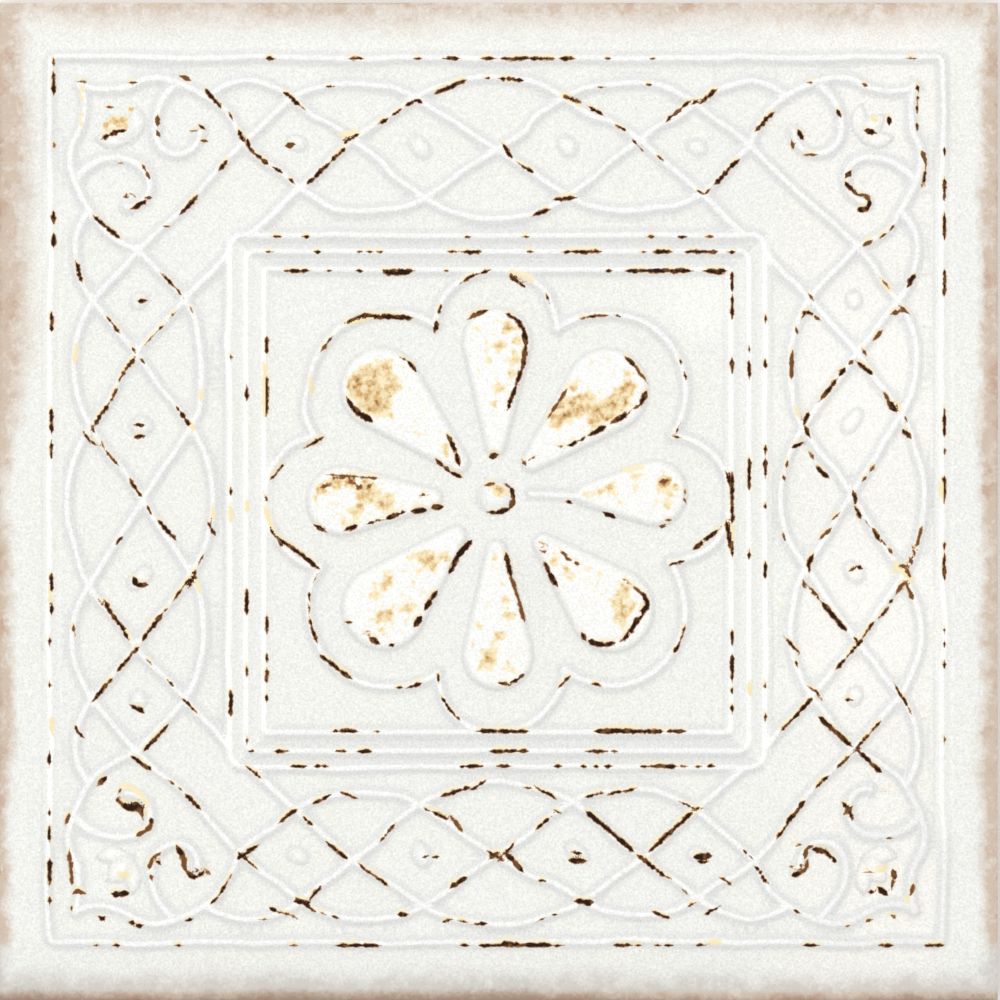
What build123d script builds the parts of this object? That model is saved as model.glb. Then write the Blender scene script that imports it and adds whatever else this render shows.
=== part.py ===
from build123d import *
import math
import os

# A square wall tile, pressed and fired as one piece. It lies on its back: the decorated
# face looks up +Z, the origin is the middle of the back, and the pattern is the same
# on all four sides. Every length is in millimetres.

# The plain body
tile_side = 200.0
body_thickness = 7.0
face_edge_radius = 1.1

# The keyed back: a grid of shallow pockets that the adhesive grips
key_count = 6
key_margin = 9.0
key_rib = 5.0
key_depth = 0.8

# The ridges: width on the face, width of the flat crest, and height
ridge_base = 3.0
ridge_crest = 1.1
ridge_height = 0.8
moulding_base = 2.4
moulding_crest = 0.9
moulding_height = 0.7
ridge_root = 0.3
crossing_lap = 0.4

# The outer frame, and the three close lines around the middle square
border_width = 11.2
frame_corner_radius = 2.0
band_width = 35.4
moulding_corner_radius = 3.0
moulding_gap_outer = 3.2
moulding_gap_inner = 3.6

# The interlaced band on each side: rows of crossings, and the arcs that turn back between them
outer_row_inset = 8.3
inner_row_inset = 8.1
corner_cut = 20.3
node_shares = (0.30, 0.573, 0.785, 1.0)
side_arc_rise = 3.5
middle_arc_rise = 4.7
inner_tail_inset = 3.7

# The boss in each lozenge of a band
dot_radius = 1.9
dot_rise = 0.65
stud_sides = 12

# The corner panels, with the scrolls and the leaf in them
shoulder_inset = 4.1
shoulder_run = 14.2
shoulder_bulge = 2.6
ogee_run = 7.0
ogee_fall = 1.2
tip_inset = 6.1
band_tail_share = 0.66
scroll_drop = 1.2
scroll_sweep = 4.2
scroll_length = 9.3
scroll_bowl = 5.0
scroll_hook = 4.4
scroll_ball_radius = 1.7
scroll_ball_rise = 0.9
leaf_inset = 16.8
leaf_length = 6.6
leaf_half_width = 1.5
leaf_widest_share = 0.6
leaf_rise = 0.8
leaf_spread = 38.0

# The flower in the middle: petals, the lobed line around them, and the button
lobe_count = 8
notch_inset = 9.4
notch_angle = 20.5
petal_tip = 8.0
petal_inset = 7.9
petal_half_width = 6.5
petal_rise = 1.4
button_radius = 3.4
button_rise = 1.2

# Where the rows of the pattern lie, measured from the middle of the tile
frame_half = tile_side / 2 - border_width
moulding_outer = frame_half - band_width
moulding_middle = moulding_outer - moulding_gap_outer
moulding_inner = moulding_middle - moulding_gap_inner
outer_row = frame_half - outer_row_inset
inner_row = moulding_outer + inner_row_inset
middle_row = (outer_row + inner_row) / 2
band_end = middle_row - corner_cut
stations = [band_end * share for share in node_shares]


def ridge_form(base, crest, height):
    """The cross-section of a ridge: sloping flanks, a flat crest and a root sunk in the body."""
    half_base = base / 2
    half_crest = crest / 2
    return Polygon(
        (-half_base, -ridge_root),
        (half_base, -ridge_root),
        (half_base, 0),
        (half_crest, height),
        (-half_crest, height),
        (-half_base, 0),
        align=None,
    )


def ridge(path, form):
    """A ridge along a path in the plane of the face, lifted onto the face."""
    heading = path % 0
    across = Plane(origin=path @ 0, x_dir=(-heading.Y, heading.X, 0), z_dir=heading)
    return Pos(0, 0, body_thickness) * sweep(across * form, path=path)


def lapped_line(start, end):
    """A straight run that passes a little beyond both of its crossings."""
    run = Vector(*end) - Vector(*start)
    lap = run.normalized() * crossing_lap
    return Line(Vector(*start) - lap, Vector(*end) + lap)


def end_lap(arc, end, form):
    """A short straight end that carries a curved ridge across the ridge it meets."""
    outward = (arc % end) * (1 if end else -1)
    return ridge(Line(arc @ end, arc @ end + outward * ridge_base / 2), form)


def above_root(solid):
    """What is left of a solid above the depth to which the relief is rooted in the body."""
    return split(solid, bisect_by=Plane.XY.offset(body_thickness - ridge_root), keep=Keep.TOP)


def square_ridge(half, base, crest, height):
    """A ridge around a square, with mitred corners."""
    shells = []
    for side in (1, -1):
        foot = Rectangle(2 * half + side * base, 2 * half + side * base)
        top = Rectangle(2 * half + side * crest, 2 * half + side * crest)
        shells.append(loft([foot, Pos(0, 0, height) * top]))
    return Pos(0, 0, body_thickness) * (shells[0] - shells[1])


def stud(point, radius, rise):
    """A low pointed boss, close to round, with flat sides."""
    outline = RegularPolygon(radius, stud_sides)
    return Pos(point[0], point[1], body_thickness) * loft([outline, Vertex(0, 0, rise)])


def dome(radius, rise):
    """A low round boss in the middle of the tile: the cap of a ball sunk in the face."""
    ball_radius = (radius**2 + rise**2) / (2 * rise)
    return above_root(Pos(0, 0, body_thickness + rise - ball_radius) * Sphere(ball_radius))


def drop(tip, end, half_width, rise):
    """A drop-shaped boss along +X: a ball and the cone that touches it, both sunk in the face."""
    ball_radius = (half_width**2 + rise**2) / (2 * rise)
    sunk = ball_radius - rise
    reach = math.hypot(end - half_width - tip, sunk)
    cone_angle = math.asin(ball_radius / reach)
    flank = reach * math.cos(cone_angle)
    touch = (flank * math.cos(cone_angle), flank * math.sin(cone_angle))
    side_angle = (math.pi / 2 + cone_angle) / 2
    side = (reach + ball_radius * math.cos(side_angle), ball_radius * math.sin(side_angle))
    outline = [
        Line((0, 0), touch),
        ThreePointArc(touch, side, (reach + ball_radius, 0)),
        Line((reach + ball_radius, 0), (0, 0)),
    ]
    tilt = math.degrees(math.asin(sunk / reach))
    solid = Rot(0, tilt, 0) * revolve(make_face(outline), axis=Axis.X)
    return above_root(Pos(tip, 0, body_thickness) * solid)


def keeled_lobe(length, half_width, rise):
    """A pointed lobe along +X with flat sides that meet over its widest place."""
    widest = length * leaf_widest_share
    outline = Polygon((0, 0), (widest, -half_width), (length, 0), (widest, half_width), align=None)
    return Pos(0, 0, body_thickness) * loft([outline, Vertex(widest, 0, rise)])


def quarter_turns(pieces):
    """The same pieces on all four sides of the tile."""
    return [Rot(0, 0, 90 * turn) * piece for turn in range(4) for piece in pieces]


def mirror_pair(pieces, plane):
    """The pieces and their mirror images."""
    return pieces + [mirror(piece, about=plane) for piece in pieces]


def body():
    """The slab with a softened face edge and the keyed back."""
    slab = extrude(Rectangle(tile_side, tile_side), amount=body_thickness)
    rim = slab.faces().sort_by(Axis.Z)[-1].edges()
    slab = fillet(rim, radius=face_edge_radius)
    pitch = (tile_side - 2 * key_margin + key_rib) / key_count
    pocket = Box(
        pitch - key_rib,
        pitch - key_rib,
        key_depth,
        align=(Align.CENTER, Align.CENTER, Align.MIN),
    )
    return slab - GridLocations(pitch, pitch, key_count, key_count) * pocket


def frames():
    """The outer frame line and the three lines around the middle square."""
    strong = ridge_form(ridge_base, ridge_crest, ridge_height)
    slight = ridge_form(moulding_base, moulding_crest, moulding_height)
    outermost = RectangleRounded(2 * frame_half, 2 * frame_half, frame_corner_radius)
    moulding = RectangleRounded(2 * moulding_outer, 2 * moulding_outer, moulding_corner_radius)
    pieces = [ridge(outermost.wire(), strong), ridge(moulding.wire(), slight)]
    for half in (moulding_middle, moulding_inner):
        pieces.append(square_ridge(half, moulding_base, moulding_crest, moulding_height))
    return pieces


def band():
    """The interlaced band beside the +Y edge."""
    form = ridge_form(ridge_base, ridge_crest, ridge_height)
    near, second, third, last = stations
    crossings = [(0, middle_row), (second, middle_row), (last, middle_row)]
    turns = [near, third]
    pieces = []
    for row, out in ((outer_row, 1), (inner_row, -1)):
        for index, turn in enumerate(turns):
            pieces.append(ridge(lapped_line(crossings[index], (turn, row)), form))
            pieces.append(ridge(lapped_line((turn, row), crossings[index + 1]), form))
        halfway = ((near + third) / 2, row + out * side_arc_rise)
        pieces.append(ridge(ThreePointArc((near, row), halfway, (third, row)), form))
    tail = (moulding_outer - inner_tail_inset, moulding_outer)
    pieces.append(ridge(lapped_line((third, inner_row), tail), form))
    for turn in turns:
        pieces.append(stud((turn, middle_row), dot_radius, dot_rise))
    pieces = mirror_pair(pieces, Plane.YZ)
    for row, out in ((outer_row, 1), (inner_row, -1)):
        middle = ThreePointArc((-near, row), (0, row + out * middle_arc_rise), (near, row))
        pieces.append(ridge(middle, form))
    return pieces


def panel_edge():
    """The ogee edge of a corner panel, from the end of a band to the panel's tip."""
    start = Vector(band_end, middle_row)
    shoulder = Vector(band_end + shoulder_run, frame_half - shoulder_inset)
    chord = shoulder - start
    outward = Vector(-chord.Y, chord.X).normalized()
    halfway = (start + shoulder) * 0.5 + outward * shoulder_bulge
    rise = ThreePointArc(start, halfway, shoulder)
    turn = shoulder + Vector(ogee_run, -ogee_fall)
    crest = TangentArc(shoulder, turn, tangent=rise % 1)
    tip = frame_half - tip_inset
    fall = TangentArc(turn, (tip, tip), tangent=crest % 1)
    return rise, crest, fall


def scroll(shoulder):
    """The scroll that curls inward from the shoulder of a panel, with the ball at its end."""
    form = ridge_form(moulding_base, moulding_crest, moulding_height)
    start = shoulder - Vector(0, scroll_drop)
    side = start + Vector(scroll_sweep, -scroll_length)
    shoulder_arc = TangentArc(side, start, tangent=(0, 1))
    bottom = side + Vector(-scroll_bowl, -scroll_bowl)
    bowl = TangentArc(side, bottom, tangent=(0, -1))
    hook_end = bottom + Vector(-scroll_hook, scroll_hook)
    hook = TangentArc(bottom, hook_end, tangent=(-1, 0))
    pieces = [ridge(arc, form) for arc in (shoulder_arc, bowl, hook)]
    pieces.append(stud((hook_end.X, hook_end.Y), scroll_ball_radius, scroll_ball_rise))
    return pieces


def leaf():
    """The three-lobed leaf that points into the corner."""
    lobe = keeled_lobe(leaf_length, leaf_half_width, leaf_rise)
    foot = frame_half - leaf_inset
    turns = (45 - leaf_spread, 45, 45 + leaf_spread)
    return [Pos(foot, foot, 0) * Rot(0, 0, turn) * lobe for turn in turns]


def corner():
    """The panel in the +X +Y corner."""
    form = ridge_form(ridge_base, ridge_crest, ridge_height)
    rise, crest, fall = panel_edge()
    tail_start = rise @ band_tail_share
    third = stations[2]
    tail_peak = ((tail_start.X + third) / 2, outer_row + side_arc_rise)
    tail = ThreePointArc((third, outer_row), tail_peak, tail_start)
    half = [ridge(arc, form) for arc in (rise, crest, fall, tail)]
    half.append(end_lap(fall, 1, form))
    half += scroll(rise @ 1)
    diagonal = Plane(origin=(0, 0, 0), x_dir=(1, 1, 0), z_dir=(1, -1, 0))
    pieces = mirror_pair(half, diagonal)
    pieces.append(ridge(lapped_line((band_end, middle_row), (middle_row, band_end)), form))
    return pieces + leaf()


def flower():
    """The eight-petalled flower, its lobed outline and its button."""
    form = ridge_form(ridge_base, ridge_crest, ridge_height)
    reach = moulding_inner
    notch_radius = reach - notch_inset
    lobe_step = 360 / lobe_count
    pieces = []
    for index in range(lobe_count):
        turn = index * lobe_step
        spread = notch_angle if index % 2 == 0 else lobe_step - notch_angle
        first = Vector(notch_radius, 0).rotate(Axis.Z, turn - spread)
        peak = Vector(reach, 0).rotate(Axis.Z, turn)
        last = Vector(notch_radius, 0).rotate(Axis.Z, turn + spread)
        lobe = ThreePointArc(first, peak, last)
        pieces += [ridge(lobe, form), end_lap(lobe, 0, form), end_lap(lobe, 1, form)]
        petal = drop(petal_tip, reach - petal_inset, petal_half_width, petal_rise)
        pieces.append(Rot(0, 0, turn) * petal)
    pieces.append(dome(button_radius, button_rise))
    return pieces


def tile():
    """The whole tile as one solid."""
    relief = frames() + quarter_turns(band()) + quarter_turns(corner()) + flower()
    return body().fuse(*relief)


os.makedirs("parts", exist_ok=True)
export_step(tile(), "parts/tile.step")
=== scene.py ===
import cmath
import math

import bmesh
import bpy
import numpy as np
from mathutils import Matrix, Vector


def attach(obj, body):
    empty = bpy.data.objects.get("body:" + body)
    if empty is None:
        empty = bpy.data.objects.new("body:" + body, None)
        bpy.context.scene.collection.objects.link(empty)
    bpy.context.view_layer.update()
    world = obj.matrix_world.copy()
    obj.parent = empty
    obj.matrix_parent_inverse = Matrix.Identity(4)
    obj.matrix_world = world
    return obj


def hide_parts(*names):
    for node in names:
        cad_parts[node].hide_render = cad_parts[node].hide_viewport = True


# The tile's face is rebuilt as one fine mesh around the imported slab, with the pattern and the
# sizes of the part's source, and then gets its glaze, wear and edge stain. Lengths are in
# millimetres until the mesh is made. Points in the plane of the face are complex numbers.

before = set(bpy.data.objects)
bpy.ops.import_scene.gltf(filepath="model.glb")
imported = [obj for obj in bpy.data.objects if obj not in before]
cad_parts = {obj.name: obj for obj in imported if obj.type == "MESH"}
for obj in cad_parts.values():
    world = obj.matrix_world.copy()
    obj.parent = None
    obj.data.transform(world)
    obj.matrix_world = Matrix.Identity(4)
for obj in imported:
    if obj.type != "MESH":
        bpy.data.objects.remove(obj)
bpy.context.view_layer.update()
MM = 0.001

# Two distances that stand for nothing near, and one that keeps a width from being zero
NOWHERE = 1e3
FAR_OFF = 9.0
HAIR = 1e-3

# The body, as in the part's source
TILE_SIDE = 200.0
BODY_THICKNESS = 7.0
FACE_EDGE_RADIUS = 1.1
KEY_COUNT = 6
KEY_MARGIN = 9.0
KEY_RIB = 5.0
KEY_DEPTH = 0.8
KEY_CORNER = 1.6

# The ridges
RIDGE_BASE = 3.5
RIDGE_HEIGHT = 0.8
MOULDING_BASE = 2.9
MOULDING_HEIGHT = 0.7

# The frames
BORDER_WIDTH = 11.2
FRAME_CORNER_RADIUS = 1.3
BAND_WIDTH = 35.4
MOULDING_CORNER_RADII = (3.0, 2.2, 1.0)
MOULDING_GAP_OUTER = 3.2
MOULDING_GAP_INNER = 3.6
FRAME_HALF = TILE_SIDE / 2 - BORDER_WIDTH
MOULDING_OUTER = FRAME_HALF - BAND_WIDTH
MOULDING_MIDDLE = MOULDING_OUTER - MOULDING_GAP_OUTER
MOULDING_INNER = MOULDING_MIDDLE - MOULDING_GAP_INNER

# The interlaced bands
OUTER_ROW = FRAME_HALF - 8.3
INNER_ROW = MOULDING_OUTER + 8.1
MIDDLE_ROW = (OUTER_ROW + INNER_ROW) / 2
BAND_END = MIDDLE_ROW - 20.3
NEAR, SECOND, THIRD, LAST = (BAND_END * share for share in (0.30, 0.573, 0.785, 1.0))
SIDE_ARC_RISE = 3.5
MIDDLE_ARC_RISE = 4.7
INNER_TAIL_INSET = 3.7
DOT_RADIUS = 2.4
DOT_RISE = 0.6

# The corner panels
SHOULDER_INSET = 4.1
SHOULDER_RUN = 14.2
SHOULDER_BULGE = 2.6
OGEE_RUN = 7.0
OGEE_FALL = 1.2
TIP_INSET = 6.1
BAND_TAIL_SHARE = 0.66
SCROLL_DROP = 1.2
SCROLL_SWEEP = 4.2
SCROLL_LENGTH = 9.3
SCROLL_BOWL = 5.0
SCROLL_HOOK = 4.4
SCROLL_BALL_RADIUS = 2.1
SCROLL_BALL_RISE = 0.95
LEAF_INSET = 16.8
LEAF_LENGTH = 7.2
LEAF_HALF_WIDTH = 1.7
LEAF_RISE = 0.9
LEAF_SPREAD = 38.0

# The flower
NOTCH_RADIUS = MOULDING_INNER - 9.4
NOTCH_ANGLE = 20.5
PETAL_TIP_RADIUS = 0.8
PETAL_RISE = 1.35
PETAL_FLANK = 1.6
PETAL_KEEL = 0.4
KEEL_BASE = 2.2
KEEL_HEIGHT = 0.45
BUTTON_RADIUS = 3.8
BUTTON_RISE = 1.25

# The photograph looks straight down: this many pixels to a millimetre of the face, and the
# pixel that the middle of the tile falls on.
PIXELS_PER_MM = 5.0
MIDDLE_PIXEL = (498.5, 502.0)
PATTERN_PIXEL = (497.0, 499.5)


def placed(x, y):
    """The point of the face, in millimetres, that a pixel of the photograph shows."""
    return complex(x - MIDDLE_PIXEL[0], MIDDLE_PIXEL[1] - y) / PIXELS_PER_MM


# Plane curves: a curve is a straight run or an arc, and a strand is a list of curves.

def line(start, end):
    return ("line", start, end)


def arc_about(centre, start, end, left):
    """The arc from start to end about a centre, turning left or right."""
    first = cmath.phase(start - centre)
    sweep = (cmath.phase(end - centre) - first) % (2 * math.pi)
    return ("arc", centre, abs(start - centre), first, sweep if left else sweep - 2 * math.pi)


def arc_through(start, middle, end):
    a, b = middle - start, end - start
    turn = (a.conjugate() * b).imag
    centre = start + (abs(a) ** 2 * b - abs(b) ** 2 * a) / (2j * turn)
    return arc_about(centre, start, end, turn > 0)


def arc_onward(start, end, heading):
    """The arc from start to end that leaves start in that heading."""
    side = 1j * heading / abs(heading)
    run = end - start
    radius = abs(run) ** 2 / (2 * (run * side.conjugate()).real)
    return arc_about(start + side * radius, start, end, radius > 0)


def along(arc, share):
    return arc[1] + arc[2] * cmath.exp(1j * (arc[3] + share * arc[4]))


def heading_at_end(arc):
    return 1j * math.copysign(1, arc[4]) * cmath.exp(1j * (arc[3] + arc[4]))


def nearer(a, b):
    """Of two distances with a sign each, the one that is nearer to zero."""
    return np.where(np.abs(a) < np.abs(b), a, b)


def distance(points, strand):
    """How far each point is from the nearest curve of a strand, positive on its left."""
    nearest = np.full(len(points), NOWHERE)
    for curve in strand:
        if curve[0] == "line":
            run = curve[2] - curve[1]
            local = (points - curve[1]) * run.conjugate() / abs(run)
            away = np.abs(local - np.clip(local.real, 0, abs(run)))
            side = local.imag
        else:
            _, centre, radius, first, sweep = curve
            turn = (np.angle(points - centre) - first) * math.copysign(1, sweep) % (2 * math.pi)
            ends = np.minimum(np.abs(points - along(curve, 0)), np.abs(points - along(curve, 1)))
            depth = radius - np.abs(points - centre)
            away = np.where(turn <= abs(sweep), np.abs(depth), ends)
            side = depth * math.copysign(1, sweep)
        nearest = nearer(nearest, np.copysign(away, side))
    return nearest


def square_distance(points, half, corner):
    """How far each point is outside the outline of a square with rounded corners."""
    x = np.abs(points.real) - half + corner
    y = np.abs(points.imag) - half + corner
    outside = np.hypot(np.maximum(x, 0), np.maximum(y, 0))
    return outside + np.minimum(np.maximum(x, y), 0) - corner


def smooth_step(share):
    share = np.clip(share, 0, 1)
    return share * share * (3 - 2 * share)


# The strands of the pattern, in the eighth of the face between the +Y axis and the diagonal.

def band_strands():
    """Each strand and whether it meets its own mirror image on the +Y axis."""
    middle = complex(0, MIDDLE_ROW)
    cross = complex(SECOND, MIDDLE_ROW)
    end = complex(LAST, MIDDLE_ROW)
    strands = []
    for row, facing, out in ((OUTER_ROW, INNER_ROW, 1), (INNER_ROW, OUTER_ROW, -1)):
        near, third = complex(NEAR, row), complex(THIRD, row)
        top = complex((NEAR + THIRD) / 2, row + out * SIDE_ARC_RISE)
        outer = [line(middle, near), arc_through(near, top, third), line(third, end)]
        strands.append((outer, True))
        peak = complex(0, row + out * MIDDLE_ARC_RISE)
        inner = [arc_through(-near.conjugate(), peak, near), line(near, cross)]
        inner.append(line(cross, complex(THIRD, facing)))
        strands.append((inner, False))
    tail_end = complex(MOULDING_OUTER - INNER_TAIL_INSET, MOULDING_OUTER)
    strands[1][0].append(line(complex(THIRD, INNER_ROW), tail_end))
    return strands


def shoulder_point():
    return complex(BAND_END + SHOULDER_RUN, FRAME_HALF - SHOULDER_INSET)


def scroll_points():
    """Where a scroll starts, its far side, its bottom and the middle of its ball."""
    top = shoulder_point() - 1j * SCROLL_DROP
    side = top + complex(SCROLL_SWEEP, -SCROLL_LENGTH)
    bottom = side + complex(-SCROLL_BOWL, -SCROLL_BOWL)
    return top, side, bottom, bottom + complex(-SCROLL_HOOK, SCROLL_HOOK)


def panel_strands():
    """The ogee edge with the end of the band that runs into it, and the scroll."""
    start = complex(BAND_END, MIDDLE_ROW)
    shoulder = shoulder_point()
    chord = shoulder - start
    halfway = (start + shoulder) / 2 + 1j * chord / abs(chord) * SHOULDER_BULGE
    rise = arc_through(start, halfway, shoulder)
    turn = shoulder + complex(OGEE_RUN, -OGEE_FALL)
    crest = arc_onward(shoulder, turn, heading_at_end(rise))
    tip = (FRAME_HALF - TIP_INSET) * (1 + 1j)
    fall = arc_onward(turn, tip, heading_at_end(crest))
    third = complex(THIRD, OUTER_ROW)
    landing = along(rise, BAND_TAIL_SHARE)
    tail_peak = complex((landing.real + THIRD) / 2, OUTER_ROW + SIDE_ARC_RISE)
    tail = arc_through(third, tail_peak, landing)

    top, side, bottom, ball = scroll_points()
    scroll = [arc_onward(side, top, 1j), arc_onward(side, bottom, -1j), arc_onward(bottom, ball, -1)]
    return [rise, crest, fall], [tail], scroll, ball


def lobe(turn, spread):
    """The arc of the flower's outline that faces one petal."""
    sides = [NOTCH_RADIUS * cmath.exp(1j * math.radians(a)) for a in (turn - spread, turn + spread)]
    return arc_through(sides[0], MOULDING_INNER * cmath.exp(1j * math.radians(turn)), sides[1])


# The crossings of each band as the photograph shows them, in pixels: along the outer row, the
# middle row and the inner row, and then the tops of the outer and the inner arcs.
BAND_PIXELS = {
    "top": (
        ((292, 98), (415, 98), (563, 98), (695, 103)),
        ((243, 143), (352, 140), (497, 150), (640, 140), (750, 146)),
        ((300, 188), (425, 198), (568, 196), (702, 194)),
        ((350, 84), (490, 77), (635, 83)),
        ((352, 211), (490, 219), (625, 210)),
    ),
    "left": (
        ((93, 301), (91, 427), (89, 586), (92, 699)),
        ((139, 250), (136, 352), (143, 500), (136, 647), (137, 752)),
        ((185, 299), (191, 427), (191, 573), (185, 699)),
        ((74, 365), (67, 503), (72, 640)),
        ((200, 363), (213, 500), (203, 636)),
    ),
    "right": (
        ((898, 301), (901, 413), (903, 575), (900, 695)),
        ((857, 246), (857, 352), (851, 494), (857, 642), (852, 750)),
        ((809, 298), (803, 427), (806, 567), (811, 696)),
        ((916, 357), (924, 494), (921, 635)),
        ((790, 362), (780, 497), (791, 632)),
    ),
    "bottom": (
        ((301, 901), (424, 906), (584, 900), (698, 898)),
        ((239, 852), (352, 860), (496, 855), (643, 858), (755, 860)),
        ((295, 809), (419, 804), (572, 801), (696, 809)),
        ((362, 919), (504, 924), (641, 914)),
        ((357, 793), (495, 780), (634, 788)),
    ),
}
NOTCH_PIXELS = (
    (672, 435), (557, 328), (435, 325), (315, 437), (320, 567), (437, 673), (565, 670), (670, 562),
)
FRAME_PIXELS = {"top": 58.0, "left": 50.0, "right": 941.0, "bottom": 941.0}
MOULDING_PIXELS = {
    "top": (236, 251, 270),
    "left": (230, 246, 264),
    "right": (764, 749, 731),
    "bottom": (767, 751, 731),
}
PANEL_TIP_PIXELS = ((917, 86), (79, 83), (72, 910), (916, 908))
# The shoulder of each corner's upright edge, and the start, side and bottom of the scroll below
# it, and the same beside the level edges.
UPRIGHT_SCROLLS = (
    ((923, 170), (905, 181), (872, 158), (846, 180)),
    ((69, 169), (84, 181), (116, 158), (150, 186)),
    ((68, 828), (83, 811), (118, 836), (151, 815)),
    ((925, 826), (912, 813), (876, 835), (848, 808)),
)
LEVEL_SCROLLS = (
    ((828, 77), (815, 90), (841, 126), (816, 154)),
    ((166, 77), (178, 92), (156, 128), (178, 154)),
    ((165, 924), (175, 912), (151, 872), (177, 843)),
    ((826, 924), (818, 912), (846, 872), (822, 841)),
)
FRAME_STOPS = (-84, -60, -36, -12, 12, 36, 60, 84)
MOULDING_STOPS = (-42, -24, -8, 8, 24, 42)
# How far a measured point draws the pattern with it, and what the rest of the tile weighs
WANDER_REACH = 5.0
REST_WEIGHT = 0.02


def side_point(side, across, out):
    """A point of the regular pattern beside one edge, across from left to right or top to bottom."""
    return {
        "top": complex(across, out),
        "bottom": complex(across, -out),
        "left": complex(-out, -across),
        "right": complex(out, -across),
    }[side]


def wanderings():
    """Where points of the regular pattern lie, and how far the real tile's lines are from them."""
    arc_mid = (NEAR + THIRD) / 2
    rows = (
        (OUTER_ROW, (-THIRD, -NEAR, NEAR, THIRD)),
        (MIDDLE_ROW, (-LAST, -SECOND, 0, SECOND, LAST)),
        (INNER_ROW, (-THIRD, -NEAR, NEAR, THIRD)),
        (OUTER_ROW, (-arc_mid, 0, arc_mid)),
        (INNER_ROW, (-arc_mid, 0, arc_mid)),
    )
    arcs = (SIDE_ARC_RISE, MIDDLE_ARC_RISE, SIDE_ARC_RISE)
    rises = ((0,) * 4, (0,) * 5, (0,) * 4, arcs, tuple(-rise for rise in arcs))
    pairs = []
    for side, measured in BAND_PIXELS.items():
        for (out, stops), lifts, pixels in zip(rows, rises, measured):
            for stop, lift, pixel in zip(stops, lifts, pixels):
                regular = side_point(side, stop, out + lift)
                pairs.append((regular, placed(*pixel) - regular))
        upright = side in ("left", "right")
        lines = [(FRAME_HALF, FRAME_PIXELS[side], FRAME_STOPS)]
        halves = (MOULDING_OUTER, MOULDING_MIDDLE, MOULDING_INNER)
        lines += [(half, pixel, MOULDING_STOPS) for half, pixel in zip(halves, MOULDING_PIXELS[side])]
        for half, pixel, stops in lines:
            for stop in stops:
                regular = side_point(side, stop, half)
                drift = placed(*PATTERN_PIXEL)
                shown = placed(pixel, 0).real if upright else placed(0, pixel).imag
                if upright:
                    drift = complex(shown - regular.real, drift.imag)
                else:
                    drift = complex(drift.real, shown - regular.imag)
                pairs.append((regular, drift))
    for index, pixel in enumerate(NOTCH_PIXELS):
        turn = 45 * index + (NOTCH_ANGLE if index % 2 == 0 else 45 - NOTCH_ANGLE)
        regular = NOTCH_RADIUS * cmath.exp(1j * math.radians(turn))
        pairs.append((regular, placed(*pixel) - regular))
    for index, pixel in enumerate(PANEL_TIP_PIXELS):
        regular = (FRAME_HALF - TIP_INSET) * (1 + 1j) * 1j**index
        pairs.append((regular, placed(*pixel) - regular))
    for index, (upright, level) in enumerate(zip(UPRIGHT_SCROLLS, LEVEL_SCROLLS)):
        across, up = (1 if index in (0, 3) else -1), (1 if index in (0, 1) else -1)
        for point, pixel, other in zip((shoulder_point(), *scroll_points()), upright, level):
            for regular, shown in ((point.imag + 1j * point.real, pixel), (point, other)):
                regular = complex(across * regular.real, up * regular.imag)
                pairs.append((regular, placed(*shown) - regular))
    return pairs


def regular_points(points):
    """The points of the regular pattern that the face shows at these points."""
    rest = placed(*PATTERN_PIXEL)
    total = np.full(len(points), rest * REST_WEIGHT)
    weight = np.full(len(points), REST_WEIGHT)
    for regular, drift in wanderings():
        share = np.exp(-(np.abs(points - regular - drift) / WANDER_REACH) ** 2)
        total = total + share * drift
        weight += share
    return points - total / weight


# The crowns of the petals as the photograph shows them: the direction from the button in degrees
# and, in pixels, the middle of the round end, its radius, and how far the tip is from the button.
PETALS = (
    (0, 655, 493, 26.5, 84),
    (45, 607, 390, 35.5, 46),
    (90, 497, 342, 28.5, 47),
    (135, 381, 388, 34.5, 45),
    (180, 341, 501, 28.5, 58),
    (225, 384, 608, 36, 50),
    (270, 498, 655, 29, 48),
    (315, 612, 610, 36, 62),
)
BUTTON_PIXEL = (495, 497)
KEEL_PIXELS = (532, 494, 582, 496)
UNION_POWER = 7
# The sections of the relief: how flat a ridge's crest is and how softly it meets the face, how
# round the dots and the button are, how a leaf narrows, and how far a petal falls to its rim.
RIDGE_CREST = 2.2
RIDGE_FOOT = 1.7
DOT_ROUNDING = 1.3
BUTTON_ROUNDING = 0.8
LEAF_TAPER = 1.1
PETAL_FALL = 0.12
PETAL_DOME = 6


def petal_depth(points, petal):
    """How deep each point lies inside a petal's foot, which is a flank outside its crown."""
    _, x, y, radius, start = petal
    centre, radius = placed(x, y), radius / PIXELS_PER_MM
    hub = placed(*BUTTON_PIXEL)
    axis = (centre - hub) / abs(centre - hub)
    tip = hub + axis * (start / PIXELS_PER_MM + PETAL_TIP_RADIUS)
    local = (points - tip) * axis.conjugate()
    length = abs(centre - tip)
    lean = (radius - PETAL_TIP_RADIUS) / length
    slope = math.sqrt(1 - lean * lean)
    x, y = local.real, np.hypot(local.imag, PETAL_KEEL) - PETAL_KEEL / 2
    reach = x * slope + y * lean
    end = radius - np.hypot(x - length, y)
    tip_end = PETAL_TIP_RADIUS - np.hypot(x, y)
    side = PETAL_TIP_RADIUS - (y * slope - x * lean)
    return np.where(reach < 0, tip_end, np.where(reach > length, end, side)) + PETAL_FLANK


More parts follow.
